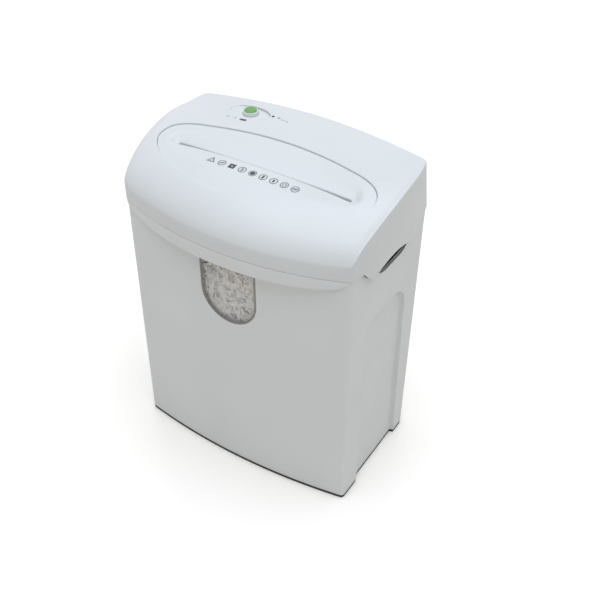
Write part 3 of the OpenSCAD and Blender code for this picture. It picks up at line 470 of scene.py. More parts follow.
class Wall:
    """A ruled wall between two equal rings: (length along the ring, height) to a place."""

    def __init__(self, low, high):
        self.low, self.high = low + low[:1], high + high[:1]
        self.s = [0.0]
        for a, b in zip(self.high, self.high[1:]):
            self.s.append(self.s[-1] + math.dist(a[:2], b[:2]))

    def place(self, s, z):
        k = min(len(self.s) - 2, max(0, bisect.bisect_left(self.s, s) - 1))
        t = clamp01((s - self.s[k]) / (self.s[k + 1] - self.s[k]))
        lo = blend(self.low[k], self.low[k + 1], t)
        hi = blend(self.high[k], self.high[k + 1], t)
        return (*blend(lo[:2], hi[:2], (z - lo[2]) / (hi[2] - lo[2])), z)

    def along(self, x, y):
        """Length along the ring at the point nearest to a place in plan."""
        best = min(range(len(self.high) - 1), key=lambda i: math.dist(self.high[i][:2], (x, y)))
        before = max(0, best - 1)
        a, b = self.high[before], self.high[best + 1]
        dx, dy = b[0] - a[0], b[1] - a[1]
        t = clamp01(((x - a[0]) * dx + (y - a[1]) * dy) / (dx * dx + dy * dy))
        return lerp(self.s[before], self.s[best + 1], t)

    def find(self, y, z, side):
        """Length along the ring where one side passes a place from front to back."""
        middle = (len(self.s) - 1) // 2
        lo, hi = self.s[middle + FRONT_N], self.s[middle + FRONT_N + 2 * FILLET_N + SIDE_N]
        for _ in range(HALVINGS):
            s = (lo + hi) / 2
            if self.place(s, z)[1] < y:
                lo = s
            else:
                hi = s
        return lo if side > 0 else self.s[-1] - lo

    def border(self):
        """The unrolled wall's edge: along the low ring, up, back and down."""
        bottom, top = [[(s, p[2]) for s, p in zip(self.s, ring)] for ring in (self.low, self.high)]
        ends = [self.upright(i, BORDER_STEP) for i in (0, -1)]
        return bottom + ends[1] + top[::-1] + ends[0][::-1]

    def upright(self, i, step):
        """Points above one corner of the ring, between its low and its high one."""
        lo, hi = self.low[i][2], self.high[i][2]
        return line((self.s[i], lo), (self.s[i], hi), max(1, round((hi - lo) / step)))[1:]

    def rows(self, step):
        """Points on the wall in level rows, at every corner of the ring."""
        return [p for i in range(1, len(self.s) - 1) for p in self.upright(i, step)]


def rounded(loop_at, z, radius, steps):
    """Rings of a rounded edge, from the flat face into the hole that loop_at(grow) gives."""
    return [lift(loop_at(radius * out), z, -radius * down) for out, down in quarter(steps)]


def turned(profile, c, count=96):
    """Rings of a turned form; profile is (radius, height) pairs."""
    return [lift(circle(c, r, count), z) for r, z in profile]


def fillet(cx, cz, r, a0, a1, n=6):
    """A rounded corner in a turned profile, angles in degrees."""
    return arc((cx, cz), r, math.radians(a0), math.radians(a1), n, 1)


# -------- materials

GRAIN_WAVES, DRIFT_WAVES, GLOSS_WAVES, STREAK_WAVES, HAZE_WAVES = 2600, 9, 60, 900, 140
FIBRE_WAVES, PRINT_WAVES = 3000, 210
GRAIN_DEPTH, FIBRE_DEPTH = 0.00006, 0.00005
EVEN = (1, 1, 1)


def feed(tree, shader, inputs):
    """Gives a node's inputs their values, or other nodes' outputs."""
    for name, value in inputs.items():
        if isinstance(value, bpy.types.NodeSocket):
            tree.links.new(value, shader.inputs[name])
        else:
            shader.inputs[name].default_value = value


def node(tree, kind, inputs):
    made = tree.nodes.new("ShaderNode" + kind)
    feed(tree, made, inputs)
    return made


def material(name, color, rough, metal=0.0):
    """A Principled material and what its nodes are built with."""
    m = bpy.data.materials.new(name)
    m.use_nodes = True
    bsdf = m.node_tree.nodes["Principled BSDF"]
    feed(m.node_tree, bsdf, {"Base Color": (*color, 1), "Roughness": rough, "Metallic": metal})
    return m, m.node_tree, bsdf


def noise(tree, scale, detail=3.0, stretch=EVEN):
    """Noise in object space; scale is in waves per metre."""
    coords = node(tree, "TexCoord", {}).outputs["Object"]
    mapping = node(tree, "Mapping", {"Scale": stretch, "Vector": coords}).outputs["Vector"]
    inputs = {"Scale": scale, "Detail": detail, "Vector": mapping}
    return node(tree, "TexNoise", inputs).outputs["Fac"]


def spread(tree, fac, low, high):
    """Maps a 0 to 1 value onto a range."""
    return node(tree, "MapRange", {"To Min": low, "To Max": high, "Value": fac}).outputs["Result"]


def ramp(tree, fac, low, high):
    """A black to white ramp between two positions, and its result."""
    made = node(tree, "ValToRGB", {"Fac": fac})
    made.color_ramp.elements[0].position = low
    made.color_ramp.elements[1].position = high
    return made.color_ramp, made.outputs["Color"]


def tint(tree, fac, dark, light):
    """Mixes two colours by a 0 to 1 value."""
    colors, result = ramp(tree, fac, 0.3, 0.7)
    colors.elements[0].color = (*dark, 1)
    colors.elements[1].color = (*light, 1)
    return result


def shade(color, k):
    return tuple(min(1.0, c * k) for c in color)


def bump(tree, fac, strength, depth):
    inputs = {"Strength": strength, "Distance": depth, "Height": fac}
    return node(tree, "Bump", inputs).outputs["Normal"]


def plastic(name, color, rough=0.4, grain=0.25, patch=0.03):
    """Moulded plastic: fine spark-eroded grain, and a faint drift of tone and gloss."""
    m, tree, bsdf = material(name, color, rough)
    drift, gloss = noise(tree, DRIFT_WAVES, 2), noise(tree, GLOSS_WAVES)
    feed(tree, bsdf, {
        "Base Color": tint(tree, drift, shade(color, 1 - patch), shade(color, 1 + patch / 2)),
        "Roughness": spread(tree, gloss, rough - 0.05, rough + 0.06),
        "Normal": bump(tree, noise(tree, GRAIN_WAVES, 2), grain, GRAIN_DEPTH)})
    return m


def metal(name, color, rough=0.32, stretch=(0.06, 1, 1), depth=0.00002):
    """Drawn or rolled metal: streaks along one direction, with a slight change of tone."""
    m, tree, bsdf = material(name, color, rough, 1.0)
    streaks = noise(tree, STREAK_WAVES, 4, stretch)
    feed(tree, bsdf, {"Base Color": tint(tree, streaks, shade(color, 0.86), shade(color, 1.05)),
                      "Roughness": spread(tree, streaks, rough - 0.08, rough + 0.12),
                      "Normal": bump(tree, streaks, 0.35, depth)})
    return m


def smoky(name, color, rough, alpha):
    """Thin tinted clear plastic with a faint haze that varies over the surface."""
    m, tree, bsdf = material(name, color, rough)
    haze = noise(tree, HAZE_WAVES, 3)
    feed(tree, bsdf, {"Base Color": tint(tree, haze, shade(color, 0.9), shade(color, 1.1)),
                      "Roughness": spread(tree, haze, rough * 0.7, rough * 1.3),
                      "Alpha": alpha})
    return m


def paper_material(name, color):
    """Uncoated paper with fibres, and grey print that crosses some of it."""
    m, tree, bsdf = material(name, color, 0.85)
    fibre = tint(tree, noise(tree, FIBRE_WAVES, 3), shade(color, 0.93), shade(color, 1.04))
    _, printed = ramp(tree, noise(tree, PRINT_WAVES, 5, (1, 1, 0.35)), 0.60, 0.68)
    grey = (*shade(color, 0.42), 1)
    mix = node(tree, "MixRGB", {"Fac": printed, "Color1": fibre, "Color2": grey})
    feed(tree, bsdf, {"Base Color": mix.outputs["Color"],
                      "Normal": bump(tree, noise(tree, FIBRE_WAVES, 3), 0.3, FIBRE_DEPTH)})
    return m


hood_plastic = plastic("hood_plastic", (0.717, 0.730, 0.735), 0.36, 0.22)
bin_plastic = plastic("bin_plastic", (0.742, 0.754, 0.756), 0.48, 0.30)
dark_plastic = plastic("dark_plastic", (0.040, 0.038, 0.037), 0.5, 0.4)
# painted shade: a near-black material for the ring that stands for the contact shadow round the
# bin's foot
painted_foot_shadow = plastic("painted_foot_shadow", (0.030, 0.030, 0.027), 0.8, 0.4)
cap_plastic = plastic("cap_plastic", (0.118, 0.360, 0.078), 0.36, 0.10, 0.05)
cap_plastic.node_tree.nodes["Principled BSDF"].inputs["Coat Weight"].default_value = 0.12
lens_dark = plastic("lens_dark", (0.055, 0.060, 0.060), 0.18, 0.02)
lens_clear = plastic("lens_clear", (0.42, 0.45, 0.44), 0.18, 0.02)
inks = [plastic("ink", (0.060, 0.064, 0.070), 0.55, 0.05),
        plastic("soft_ink", (0.240, 0.255, 0.275), 0.55, 0.05),
        plastic("faint_ink", (0.46, 0.49, 0.52), 0.55, 0.05)]
INK, SOFT_INK, FAINT_INK = 0, 1, 2
pane_clear = smoky("pane_clear", (0.66, 0.635, 0.605), 0.16, 0.16)
pane_edge = smoky("pane_edge", (0.27, 0.245, 0.215), 0.30, 0.80)
papers = [paper_material("paper_white", (0.95, 0.92, 0.90)),
          paper_material("paper_cream", (0.91, 0.865, 0.83)),
          paper_material("paper_grey", (0.66, 0.655, 0.69))]
WHITE_PAPER, CREAM_PAPER, GREY_PAPER = 0, 1, 2

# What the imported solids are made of, by material slot.
LOOKS = {
    "hood_white": hood_plastic,
    "bin_grey": bin_plastic,
    "dark_plastic": dark_plastic,
    "cap_green": cap_plastic,
    "lens": lens_clear,
    "nylon": plastic("nylon", (0.74, 0.70, 0.60), 0.45, 0.2, 0.06),
    "magnet": plastic("ferrite", (0.09, 0.09, 0.10), 0.7, 0.5, 0.1),
    "carbon": plastic("carbon", (0.025, 0.025, 0.025), 0.6, 0.5, 0.1),
    "board": plastic("board", (0.022, 0.145, 0.055), 0.35, 0.2, 0.08),
    "board_part": plastic("component", (0.07, 0.07, 0.075), 0.5, 0.3, 0.1),
    "steel": metal("steel", (0.56, 0.57, 0.58)),
    "cutter_steel": metal("cutter_steel", (0.34, 0.34, 0.355), 0.38, EVEN),
    "bronze": metal("bronze", (0.55, 0.38, 0.18), 0.4, EVEN),
    "bell_alloy": metal("alloy", (0.62, 0.62, 0.62), 0.5, EVEN, 0.00005),
    "copper": metal("copper", (0.62, 0.28, 0.13), 0.35, (0.02, 1, 1), 0.00006),
}


# -------- hood

REACH_X, ROOF_ROWS = 165.0, 60
DISH_N, DISH_POINT = 140, 1.1
LENS_FIT, SHOULDER_ROWS = 0.05, range(-62, 74, 2)


def dish_loop(grow):
    """The switch dish's outline, a little more pointed than an ellipse."""
    points = []
    for i in range(DISH_N):
        a = 2 * math.pi * i / DISH_N
        wide = math.copysign(abs(math.sin(a)) ** DISH_POINT, math.sin(a))
        points.append((SWITCH[0] + (DISH_HALF + grow) * math.cos(a),
                       SWITCH[1] + (DISH_W + grow) * wide))
    return points


def dome_points(step):
    """Points over the roof, closer together in plan where the dome is steep."""
    points = []
    levels = [DOME_RUN * (1 - math.cos(math.pi / 2 * k / ROOF_ROWS)) for k in range(1, ROOF_ROWS)]
    levels += [DOME_RUN + step * ROW * k for k in range(ROOF_ROWS)]
    for k, u in enumerate(levels):
        r = FRONT_R - u
        for i in range(int(2 * REACH_X / step)):
            x = -REACH_X + (i + 0.5 * (k % 2)) * step
            if abs(x) < r:
                points.append((x, FRONT_C - math.sqrt(r * r - x * x)))
    return points


def wall_holes(wall):
    """The round-ended vents and the mains lead's opening, as loops on a rear wall."""
    holes, r = [], VENT_W / 2
    for x in VENTS:
        s = wall.along(x + r, BACK_Y)
        down = [(s - r, lerp(VENT_HIGH, VENT_LOW, t)) for t in (0.3, 0.7)]
        up = [(s + r, lerp(VENT_LOW, VENT_HIGH, t)) for t in (0.3, 0.7)]
        holes.append(arc((s, VENT_HIGH - r), r, 0, math.pi, 8, 1) + down
                     + arc((s, VENT_LOW + r), r, math.pi, 2 * math.pi, 8, 1) + up)
    return holes + [circle((wall.along(GLAND_X, BACK_Y), GLAND_Z), GLAND_R)]


def shoulder_lines():
    """Where the roof starts to fall to each side."""
    return [[(side * (side_x(y) - SHOULDER_W), y) for y in SHOULDER_ROWS] for side in (-1, 1)]


def roof_holes():
    """The roof's openings: how round each edge is, and its outline grown by a distance."""
    lenses = [(HOLE_ROUND, lambda g, c=c: circle(c, LENS_R + LENS_FIT + g, 24)) for c in LENSES]
    return [(EYE_ROUND, lambda g: eye_loop(EYE_GAP + g)),
            (HOLE_ROUND, lambda g: dish_loop(DROP_FIT + g))] + lenses


def roof_edge():
    """Rings over the roof's rounded edge, which fades out at the front's crease."""
    full, drawn = head_outline(0, 1), head_outline(EDGE_ROUND, 1)
    rings = []
    for inward, down in quarter(6):
        ring = []
        for p, q in zip(full, drawn):
            share = ease((p[1] + FRONT_Y) / EDGE_START)
            top = roof_z(*blend(p, q, share))
            ring.append((*blend(p, q, share * inward), top - share * EDGE_ROUND * down))
        rings.append(ring)
    return rings


def make_hood():
    """The hood: a roof with openings, and walls down to a shaped rim."""
    skin = Skin()
    edge = roof_edge()
    skin.strip(edge)
    holes = roof_holes()
    skin.patch([(x, y) for x, y, z in edge[0]], [hole(r) for r, hole in holes], dome_points(2.3),
               at(roof_z), near=0.45, creases=shoulder_lines())
    for r, hole in holes:
        skin.strip(rounded(hole, roof_z, r, 5) + [lift(hole(0), roof_z, -SHELL)])
    inner = head_outline(SHELL, 1)
    skin.patch(inner, [hole(0) for _, hole in holes], dome_points(5), at(roof_z, -SHELL), near=1.2)

    heights = [hood_rim_z(y) for _, y in head_outline(0, 0)]
    rims = []
    for up, inward in quarter(4):
        loop = head_outline(RIM_ROUND * inward, 0)
        rims.append([(x, y, z + RIM_ROUND * up) for (x, y), z in zip(loop, heights)])
    inner_rim = [(x, y, z) for (x, y), z in zip(head_outline(SHELL, 0), heights)]
    skin.strip(rims + [inner_rim])

    outside = Wall(rims[0], edge[-1])
    inside = Wall(inner_rim, lift(inner, roof_z, -SHELL))
    pairs = list(zip(wall_holes(outside), wall_holes(inside)))
    skin.patch(outside.border(), [h for h, _ in pairs], outside.rows(6), outside.place, near=0.5)
    skin.patch(inside.border(), [h for _, h in pairs], inside.rows(12), inside.place, near=0.5)
    for a, b in pairs:
        skin.strip([[outside.place(*p) for p in a], [inside.place(*p) for p in b]])
    obj = skin.piece("hood_skin", [hood_plastic], "head", sharp=26)
    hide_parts("hood")


# -------- feed panel

PANEL_AREA, PANEL_UNDER = (-140, 140, -73, 33), -PANEL_T - 0.6
SLOT_END_R, SLOT_STEP, SLOT_BOX = 1.2, 2.5, 2.0


def slot_loop(grow):
    """The paper slot in plan, with slightly rounded ends."""
    return dense(rounded_box((0, SLOT_Y), SLOT_LEN / 2 + grow, SLOT_W / 2 + grow,
                             SLOT_END_R + grow, 5, 1), SLOT_STEP)


def make_feed_panel():
    """The sunk panel, hollowed round the paper slot, and the slot's throat."""
    skin = Skin()
    edge, box = eye_loop(0), slot_loop(SLOT_BOX)
    skin.patch(edge, [slot_loop(SLOT_ROUND)], grid(*PANEL_AREA, 1.9), at(panel_z), near=0.7)
    throat = lift(slot_loop(0), THROAT_Z)
    skin.strip(rounded(slot_loop, panel_z, SLOT_ROUND, 4) + [throat])
    skin.strip([lift(edge, panel_z), lift(edge, roof_z, PANEL_UNDER - EYE_STEP)])
    skin.patch(edge, [box], grid(*PANEL_AREA, 6), at(panel_z, PANEL_UNDER), near=1.5)
    skin.strip([lift(box, panel_z, PANEL_UNDER), lift(box, THROAT_Z), throat])
    obj = skin.piece("feed_panel", [hood_plastic], "head", sharp=30)
    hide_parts("feed_insert")


# -------- bin

ARCH_NEAR_X, ARCH_MARGIN, ARCH_N, ARCH_TOP_N, ARCH_END_N = 15, 5, 28, 20, 12
CREASE_ROWS = (6, 220, 9)
ROUND_N, UP_N, ACROSS_N = 72, 28, 46
BASE_GRID = (-150, 150, -95, 95, 10)


def arch_inside(y, z, start, grow):
    """How far inside the arch's outline a place on the side is; start is its front edge."""
    low = ARCH_TOP - ARCH_R
    if z <= low:
        return min(y - start, ARCH_BACK - y) + grow
    if y < start + ARCH_R:
        return ARCH_R + grow - math.hypot(y - start - ARCH_R, z - low)
    if y > ARCH_BACK - ARCH_R:
        return ARCH_R + grow - math.hypot(y - ARCH_BACK + ARCH_R, z - low)
    return ARCH_TOP + grow - z


def recessed(p, grow=0.0):
    """Moves a place on the bin's side in by the depth of the arched recess there."""
    x, y, z = p
    beside = ARCH_FRONT - ARCH_MARGIN < y < ARCH_BACK + ARCH_MARGIN
    if abs(x) < CORNER_X - ARCH_NEAR_X or not beside:
        return p
    outer = arch_inside(y, z, ARCH_FRONT, grow)
    inner = arch_inside(y, z, ARCH_FRONT + ARCH_RAMP, grow)
    depth = ARCH_DEPTH * ease(outer / max(ARCH_EDGE, outer - inner))
    return (x - math.copysign(depth, x), y, z)


def arch_creases(wall, side, grow):
    """Lines on the wall that keep the arch's rear and top edge crisp."""
    low, back, front = ARCH_TOP - ARCH_R, ARCH_BACK - ARCH_R, ARCH_FRONT + ARCH_R
    lines = []
    for share in (0.0, 0.3, 0.7, 1.0):
        r = ARCH_R + grow - share * ARCH_EDGE
        path = [(back + r, z) for z in range(*CREASE_ROWS)]
        path += arc((back, low), r, 0, math.pi / 2, ARCH_N)
        path += line((back, low + r), (front, low + r), ARCH_TOP_N)
        path += arc((front, low), r, math.pi / 2, math.pi, ARCH_N)[:ARCH_END_N]
        lines.append([(wall.find(y, z, side), z) for y, z in path])
    return lines


def window_loop(grow):
    """The window in X and Z: a round bottom and a square top."""
    r, z, top = WINDOW_X + grow, WINDOW_Z + WINDOW_X, WINDOW_TOP + grow
    return (arc((0, z), r, math.pi, 2 * math.pi, ROUND_N) + line((r, z), (r, top), UP_N)
            + line((r, top), (-r, top), ACROSS_N) + line((-r, top), (-r, z), UP_N))


def above_ledge(x, y, z):
    """A place above the ledge, where the sides step in behind the hood's skirt."""
    return (x - math.copysign(rebate(y), x), y, z)


def bin_rings(inset):
    """Foot, body, lip and rim rings of the bin's outer or inner face."""
    low, rise = (FLOOR_T if inset else FOOT_GAP + FOOT_ROUND), inset * LEDGE_SLOPE
    foot, body = bin_outline(inset, 0, PANEL_BOW), bin_outline(inset, 1, PANEL_BOW)
    lip = bin_outline(inset, 1, FRONT_BOW)
    return (lift(foot, low), [(x, y, ledge_z(x, y) + rise) for x, y in body],
            [above_ledge(x, y, ledge_z(x, y) + LIP_START + rise) for x, y in lip],
            [above_ledge(x, y, rim_z(y, inset)) for x, y in lip])


def lip_rings(body, lip):
    """Rings that carry the ledge's underside round into the lip's face."""
    rings = [body]
    for inward, up in quarter(5):
        ring = []
        for p, q in zip(lip, body):
            span = math.dist(p[:2], q[:2])
            r = min(LIP_ROUND, span / 2)
            ring.append((*blend(p[:2], q[:2], r * inward / max(span, 1e-6)), p[2] + r * up))
        rings.append(ring)
    return rings


def rim_rings(rim, inner_rim):
    """Rings over the rounded outer edge of the bin's rim."""
    rings = []
    for down, inward in quarter(4):
        loop = [blend(p, q, RIM_TOP * inward / SHELL) for p, q in zip(rim, inner_rim)]
        rings.append([(x, y, z - RIM_TOP * down) for x, y, z in loop])
    return rings


def reveal_rings(outside):
    """Rings over the rounded edge of the window's opening."""
    return [outside] + [[(x, panel_y(x) + HOLE_ROUND * back, z)
                         for x, z in window_loop(HOLE_ROUND * out)] for out, back in quarter(4)[1:]]


def make_bin():
    """The bin: walls with side recesses, the window's opening, a lip and a scooped rim."""
    skin = Skin()
    foot, body, lip, rim = bin_rings(0)
    inner_foot, inner_body, inner_lip, inner_rim = bin_rings(SHELL)
    under = []
    for inward, up in quarter(4):
        loop = bin_outline(FOOT_ROUND * inward, 0, PANEL_BOW)
        under.append([recessed(p) for p in lift(loop, FOOT_GAP + FOOT_ROUND * up)])
    skin.strip(under)
    skin.patch([p[:2] for p in under[0]], [], grid(*BASE_GRID), at(FOOT_GAP), near=4)

    openings = []
    for low, high, grow, loop, step in ((foot, body, 0.0, window_loop(HOLE_ROUND), 5),
                                        (inner_foot, inner_body, SHELL, window_loop(0), 10)):
        wall = Wall(low, high)
        hole = [(wall.along(x, panel_y(x) + grow), z) for x, z in loop]
        lines = arch_creases(wall, 1, grow) + arch_creases(wall, -1, grow)
        skin.patch(wall.border(), [hole], wall.rows(step),
                   lambda s, z, w=wall, g=grow: recessed(w.place(s, z), g),
                   near=0.42, creases=lines)
        openings.append([wall.place(*p) for p in hole])
    skin.strip(reveal_rings(openings[0]) + [openings[1]])

    skin.strip(lip_rings(body, lip) + rim_rings(rim, inner_rim)
               + [inner_rim, inner_lip, inner_body])
    bottom = [recessed(p, SHELL) for p in inner_foot]
    skin.patch([p[:2] for p in bottom], [], grid(*BASE_GRID), at(FLOOR_T), near=4)
    obj = skin.piece("bin_skin", [bin_plastic], "bin", sharp=30)
    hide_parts("bin")


def make_foot_shadow():
    """A dark ring under the bin, set in a little from its wall: painted shade for the contact
    shadow along the foot.
    """
    skin = Skin()
    outer, inner = [bin_outline(inset, 0, PANEL_BOW) for inset in (FOOT_IN, FOOT_IN + FOOT_W)]
    corners = ((outer, 0.0), (outer, FOOT_GAP), (inner, FOOT_GAP), (inner, 0.0), (outer, 0.0))
    skin.strip([[recessed(p) for p in lift(loop, z)] for loop, z in corners])
    obj = skin.piece("foot_shadow_ring", [painted_foot_shadow], "bin", sharp=40)


PANE_GRID = (-45, 45, WINDOW_Z - 5, WINDOW_TOP + 5, 2.5)


def make_pane():
    """The clear window with its darker edge, and its flange behind the wall."""
    def behind(depth):
        return lambda x, z: (x, panel_y(x) + depth, z)

    def wall(loop, *depths):
        skin.strip([[behind(depth)(*p) for p in loop] for depth in depths], slot=1)

    skin = Skin()
    body, flange = window_loop(-DROP_FIT), window_loop(PANE_EDGE_W)
    edge = window_loop(-DROP_FIT - PANE_EDGE_W)
    back = PANE_SEAT + PANE_T
    skin.patch(body, [edge], [], behind(PANE_IN), slot=1)
    skin.patch(edge, [], grid(*PANE_GRID), behind(PANE_IN), near=1)
    wall(body, PANE_IN, PANE_SEAT)
    skin.patch(flange, [body], [], behind(PANE_SEAT), slot=1)
    wall(flange, PANE_SEAT, back)
    skin.patch(flange, [], grid(*PANE_GRID), behind(back), near=1)
    obj = skin.piece("clear_window", [pane_clear, pane_edge], "bin", sharp=30)
    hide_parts("window_pane")


# -------- switch

DISH_Z = roof_z(*SWITCH) - DISH_DEPTH
DISH_TOP = DISH_Z + DISH_T
DISH_FILLET, DISH_RISE, DISH_FIT, DISH_IN, DISH_UNDER = 1.5, 1.9, 0.5, 2, DISH_Z - 1
DISH_GRID = (-97, -43, 54, 78, 1.4)
KNOB_Z = DISH_TOP + 0.3
KNOB_TOP = KNOB_Z + KNOB_H
KNOB_CUT, KNOB_FOOT, KNOB_ROUND, KNOB_LEVEL, KNOB_BELLY = 0.3, 0.4, 0.6, 0.9, 0.8
STEM_FIT, STEM_LOW, CAP_FIT = 0.3, 4, 0.1
CAP_CUT, CAP_ROUND, CAP_DOWN, CAP_FLAT, CAP_CROWN = 0.2, 0.8, 0.9, 6, 0.10


def stem_slot():
    """The slot that the knob's stem slides in."""
    x, y, r = *SWITCH, STEM_R + STEM_FIT
    return (arc((x + KNOB_TRAVEL, y), r, -math.pi / 2, math.pi / 2, 14)
            + arc((x - KNOB_TRAVEL, y), r, math.pi / 2, 3 * math.pi / 2, 14))


def make_dish():
    """The switch's dish, whose edge curves up to the roof round the stem's slot."""
    def slope(up):
        return lambda x, y: lerp(DISH_TOP, min(roof_z(x, y) - DISH_FIT, DISH_TOP + DISH_RISE), up)

    skin = Skin()
    rings = [lift(dish_loop(-DISH_FILLET * inward), slope(up)) for inward, up in quarter(8)]
    skin.strip(rings)
    skin.patch([p[:2] for p in rings[0]], [stem_slot()], grid(*DISH_GRID), at(DISH_TOP), near=0.7)
    base = dish_loop(-DISH_IN)
    skin.strip([rings[-1], lift(dish_loop(0), DISH_Z), lift(base, DISH_UNDER)])
    skin.strip([lift(stem_slot(), DISH_TOP), lift(stem_slot(), DISH_UNDER)])
    skin.patch(base, [stem_slot()], [], at(DISH_UNDER))
    obj = skin.piece("switch_dish_skin", [hood_plastic], "head", sharp=40)
    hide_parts("switch_dish")


def make_knob():
    """The sliding knob: a collar round the cap's seat, on a stem."""
    skin = Skin()
    top, foot, seat_r = KNOB_TOP - KNOB_ROUND, KNOB_Z + KNOB_FOOT, CAP_R + CAP_FIT
    level_r = CAP_R + KNOB_LEVEL
    profile = [(KNOB_R - KNOB_CUT, KNOB_Z), (KNOB_R, foot)]
    profile += [(lerp(KNOB_R, level_r + KNOB_ROUND, t), lerp(foot, top, t ** KNOB_BELLY))
                for t in (0.2, 0.4, 0.6, 0.8)]
    profile += fillet(level_r, top, KNOB_ROUND, 0, 90)
    profile += [(seat_r, KNOB_TOP), (seat_r, KNOB_TOP - CAP_SEAT)]
    stem = [(KNOB_R - KNOB_CUT, KNOB_Z), (STEM_R, KNOB_Z), (STEM_R, DISH_Z - STEM_LOW)]
    for rings in (turned(profile, SWITCH), turned(stem, SWITCH)):
        skin.strip(rings)
        skin.lid(rings[-1])
    obj = skin.piece("knob_skin", [hood_plastic], "switch_slider", sharp=35)
    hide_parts("switch_knob")


def make_cap():
    """The coloured cap on the knob, with a slight crown."""
    skin = Skin()
    seat, top = KNOB_TOP - CAP_SEAT, KNOB_TOP + CAP_UP
    profile = [(CAP_R - CAP_CUT, seat), (CAP_R, seat + CAP_CUT), (CAP_R, top - CAP_DOWN)]
    profile += fillet(CAP_R - CAP_ROUND, top - CAP_DOWN, CAP_ROUND, 0, 80, 7)[1:]
    profile += [(r, top - CAP_CROWN * (1 - math.cos((r - CAP_FLAT) / CAP_FLAT * math.pi)) / 2)
                for r in range(CAP_FLAT, 0, -1)]
    skin.solid(turned(profile, SWITCH))
    obj = skin.piece("cap_skin", [cap_plastic], "switch_slider", sharp=40)
    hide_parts("knob_cap")


# -------- lenses and printed marks

LENS_LOW, LENS_ROUND, LENS_DEEP = 0.1, 0.5, 3
INK_UP, INK_DOWN, INK_STEP, INK_NEAR = 0.06, -0.3, 0.8, 0.3
MARK_Y, MARK_FALL, MARK_START, MARK_PITCH, MARK_R = -32.7, 0.27, -53.4, 13.6, 5.0
TRIANGLE_R, TRIANGLE_DOWN, TRIANGLE_HOLE = 6.3, 0.8, 0.45
# The bars in the marks' rings, by place in the row: ink, width, depth and turn.
BARS = {1: (SOFT_INK, 5.4, 2.6, 35), 3: (SOFT_INK, 5.4, 2.6, 90), 5: (INK, 2.4, 5.6),
        6: (INK, 2.4, 4.4), 8: (SOFT_INK, 5.8, 3.0, 20)}
# The faint signs on the roof: place, width, depth and turn.
ROOF_SIGNS = [(-87.8, 45.3, 4.8, 2.0, 20), (-77.8, 45.5, 4.2, 2.0),
              (-24.6, 64.4, 4.4, 2.0), (-18.8, 63.6, 4.2, 2.0, -20)]


def make_lenses():
    """The two indicator lenses, one dark and one clear."""
    skin = Skin()
    for i, c in enumerate(LENSES):
        top = roof_z(*c)
        edge = fillet(LENS_R - LENS_ROUND, top - LENS_LOW, LENS_ROUND, 20, 90, 4)
        low = [(LENS_R, top - SHELL - LENS_DEEP), (LENS_R, top - LENS_LOW)]
        skin.solid(turned(low + edge, c, 32), i)
    obj = skin.piece("lens_skin", [lens_dark, lens_clear], "head", sharp=40)
    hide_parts("indicator_lenses")


def inlay(skin, outer, holes, z, slot):
    """A printed patch: a thin solid that stands a hair above the surface z."""
    outer, holes = dense(outer, INK_STEP), [dense(hole, INK_STEP) for hole in holes]
    xs, ys = [p[0] for p in outer], [p[1] for p in outer]
    inner = grid(min(xs), max(xs), min(ys), max(ys), INK_STEP)
    for up in (INK_UP, INK_DOWN):
        skin.patch(outer, holes, inner, at(z, up), slot, INK_NEAR)
    for loop in [outer] + holes:
        skin.strip([lift(loop, z, up) for up in (INK_UP, INK_DOWN)], slot)


def block(cx, cy, w, h, turn=0.0, corner=0.3):
    """A rounded rectangle in plan, turned by an angle in degrees."""
    c, s = math.cos(math.radians(turn)), math.sin(math.radians(turn))
    return [(cx + x * c - y * s, cy + x * s + y * c)
            for x, y in rounded_box((0, 0), w / 2, h / 2, corner, 4)]


def make_marks():
    """A row of plain geometric signs on the feed panel, and small ones on the roof."""
    skin = Skin()

    def sign(slot, outer, *holes):
        inlay(skin, outer, list(holes), panel_z, slot)

    def ring(c, r, wide):
        sign(SOFT_INK, circle(c, r, 48), circle(c, r - wide, 48))

    for i in range(9):
        x, y = c = (MARK_START + i * MARK_PITCH, MARK_Y - i * MARK_FALL)
        if i == 0:
            low = (x, y - TRIANGLE_DOWN)
            sign(SOFT_INK, *[arc(low, r, math.pi / 2, 5 * math.pi / 2, 3)
                             for r in (TRIANGLE_R, TRIANGLE_R * TRIANGLE_HOLE)])
        elif i == 2:
            sign(INK, block(x, y, 7.8, 7.8), block(x, y, 1.8, 1.8, 45))
        elif i == 4:
            ring(c, MARK_R, 1.25)
            sign(INK, circle(c, 3.1, 40))
        else:
            ring(c, MARK_R, 1.35)
            if i == 7:
                ring(c, 2.6, 1.1)
            else:
                slot, *shape = BARS[i]
                sign(slot, block(x, y, *shape))
    inlay(skin, block(-66.6, 45.5, 8.6, 3.5, 4, 0.6), [], roof_z, INK)
    for shape in ROOF_SIGNS:
        inlay(skin, block(*shape), [], roof_z, FAINT_INK)
    obj = skin.piece("printed_marks", inks, "head", sharp=40, merge=0.001)


# -------- shreds in the bin

HEAP_TOP, HEAP_LOW, HEAP_INSET, HEAP_SHARE = 297.0, FLOOR_T + 0.1, 8.4, 0.9
HEAP_ROWS, HEAP_WAVES, HEAP_GRID = 60, 9, (-140, 140, -90, 90, 3)
LUMP_H, SIDE_FALL, REAR_FALL, DENT, DENT_FADE = 7, 9, 6, 0.012, 8
RIBBON_W, RIBBON_T, RIBBON_N, STRAIGHT = 4.6, 0.2, 8, 1e-6
SHREDS, SHRED_TOP, SHRED_GAP = 620, 309.0, 0.5
SHRED_X, SHRED_Z, SHRED_DEPTH, SHRED_LEN = (-52, 52), (222, 306), (5.2, 8.6), (18, 36)
TILT, TURN, NOD, CURL = 0.34, 0.9, 0.22, 0.03  # how much the shreds vary
SHRED_MIX = 3 * (WHITE_PAPER,) + 2 * (CREAM_PAPER,) + (GREY_PAPER,)


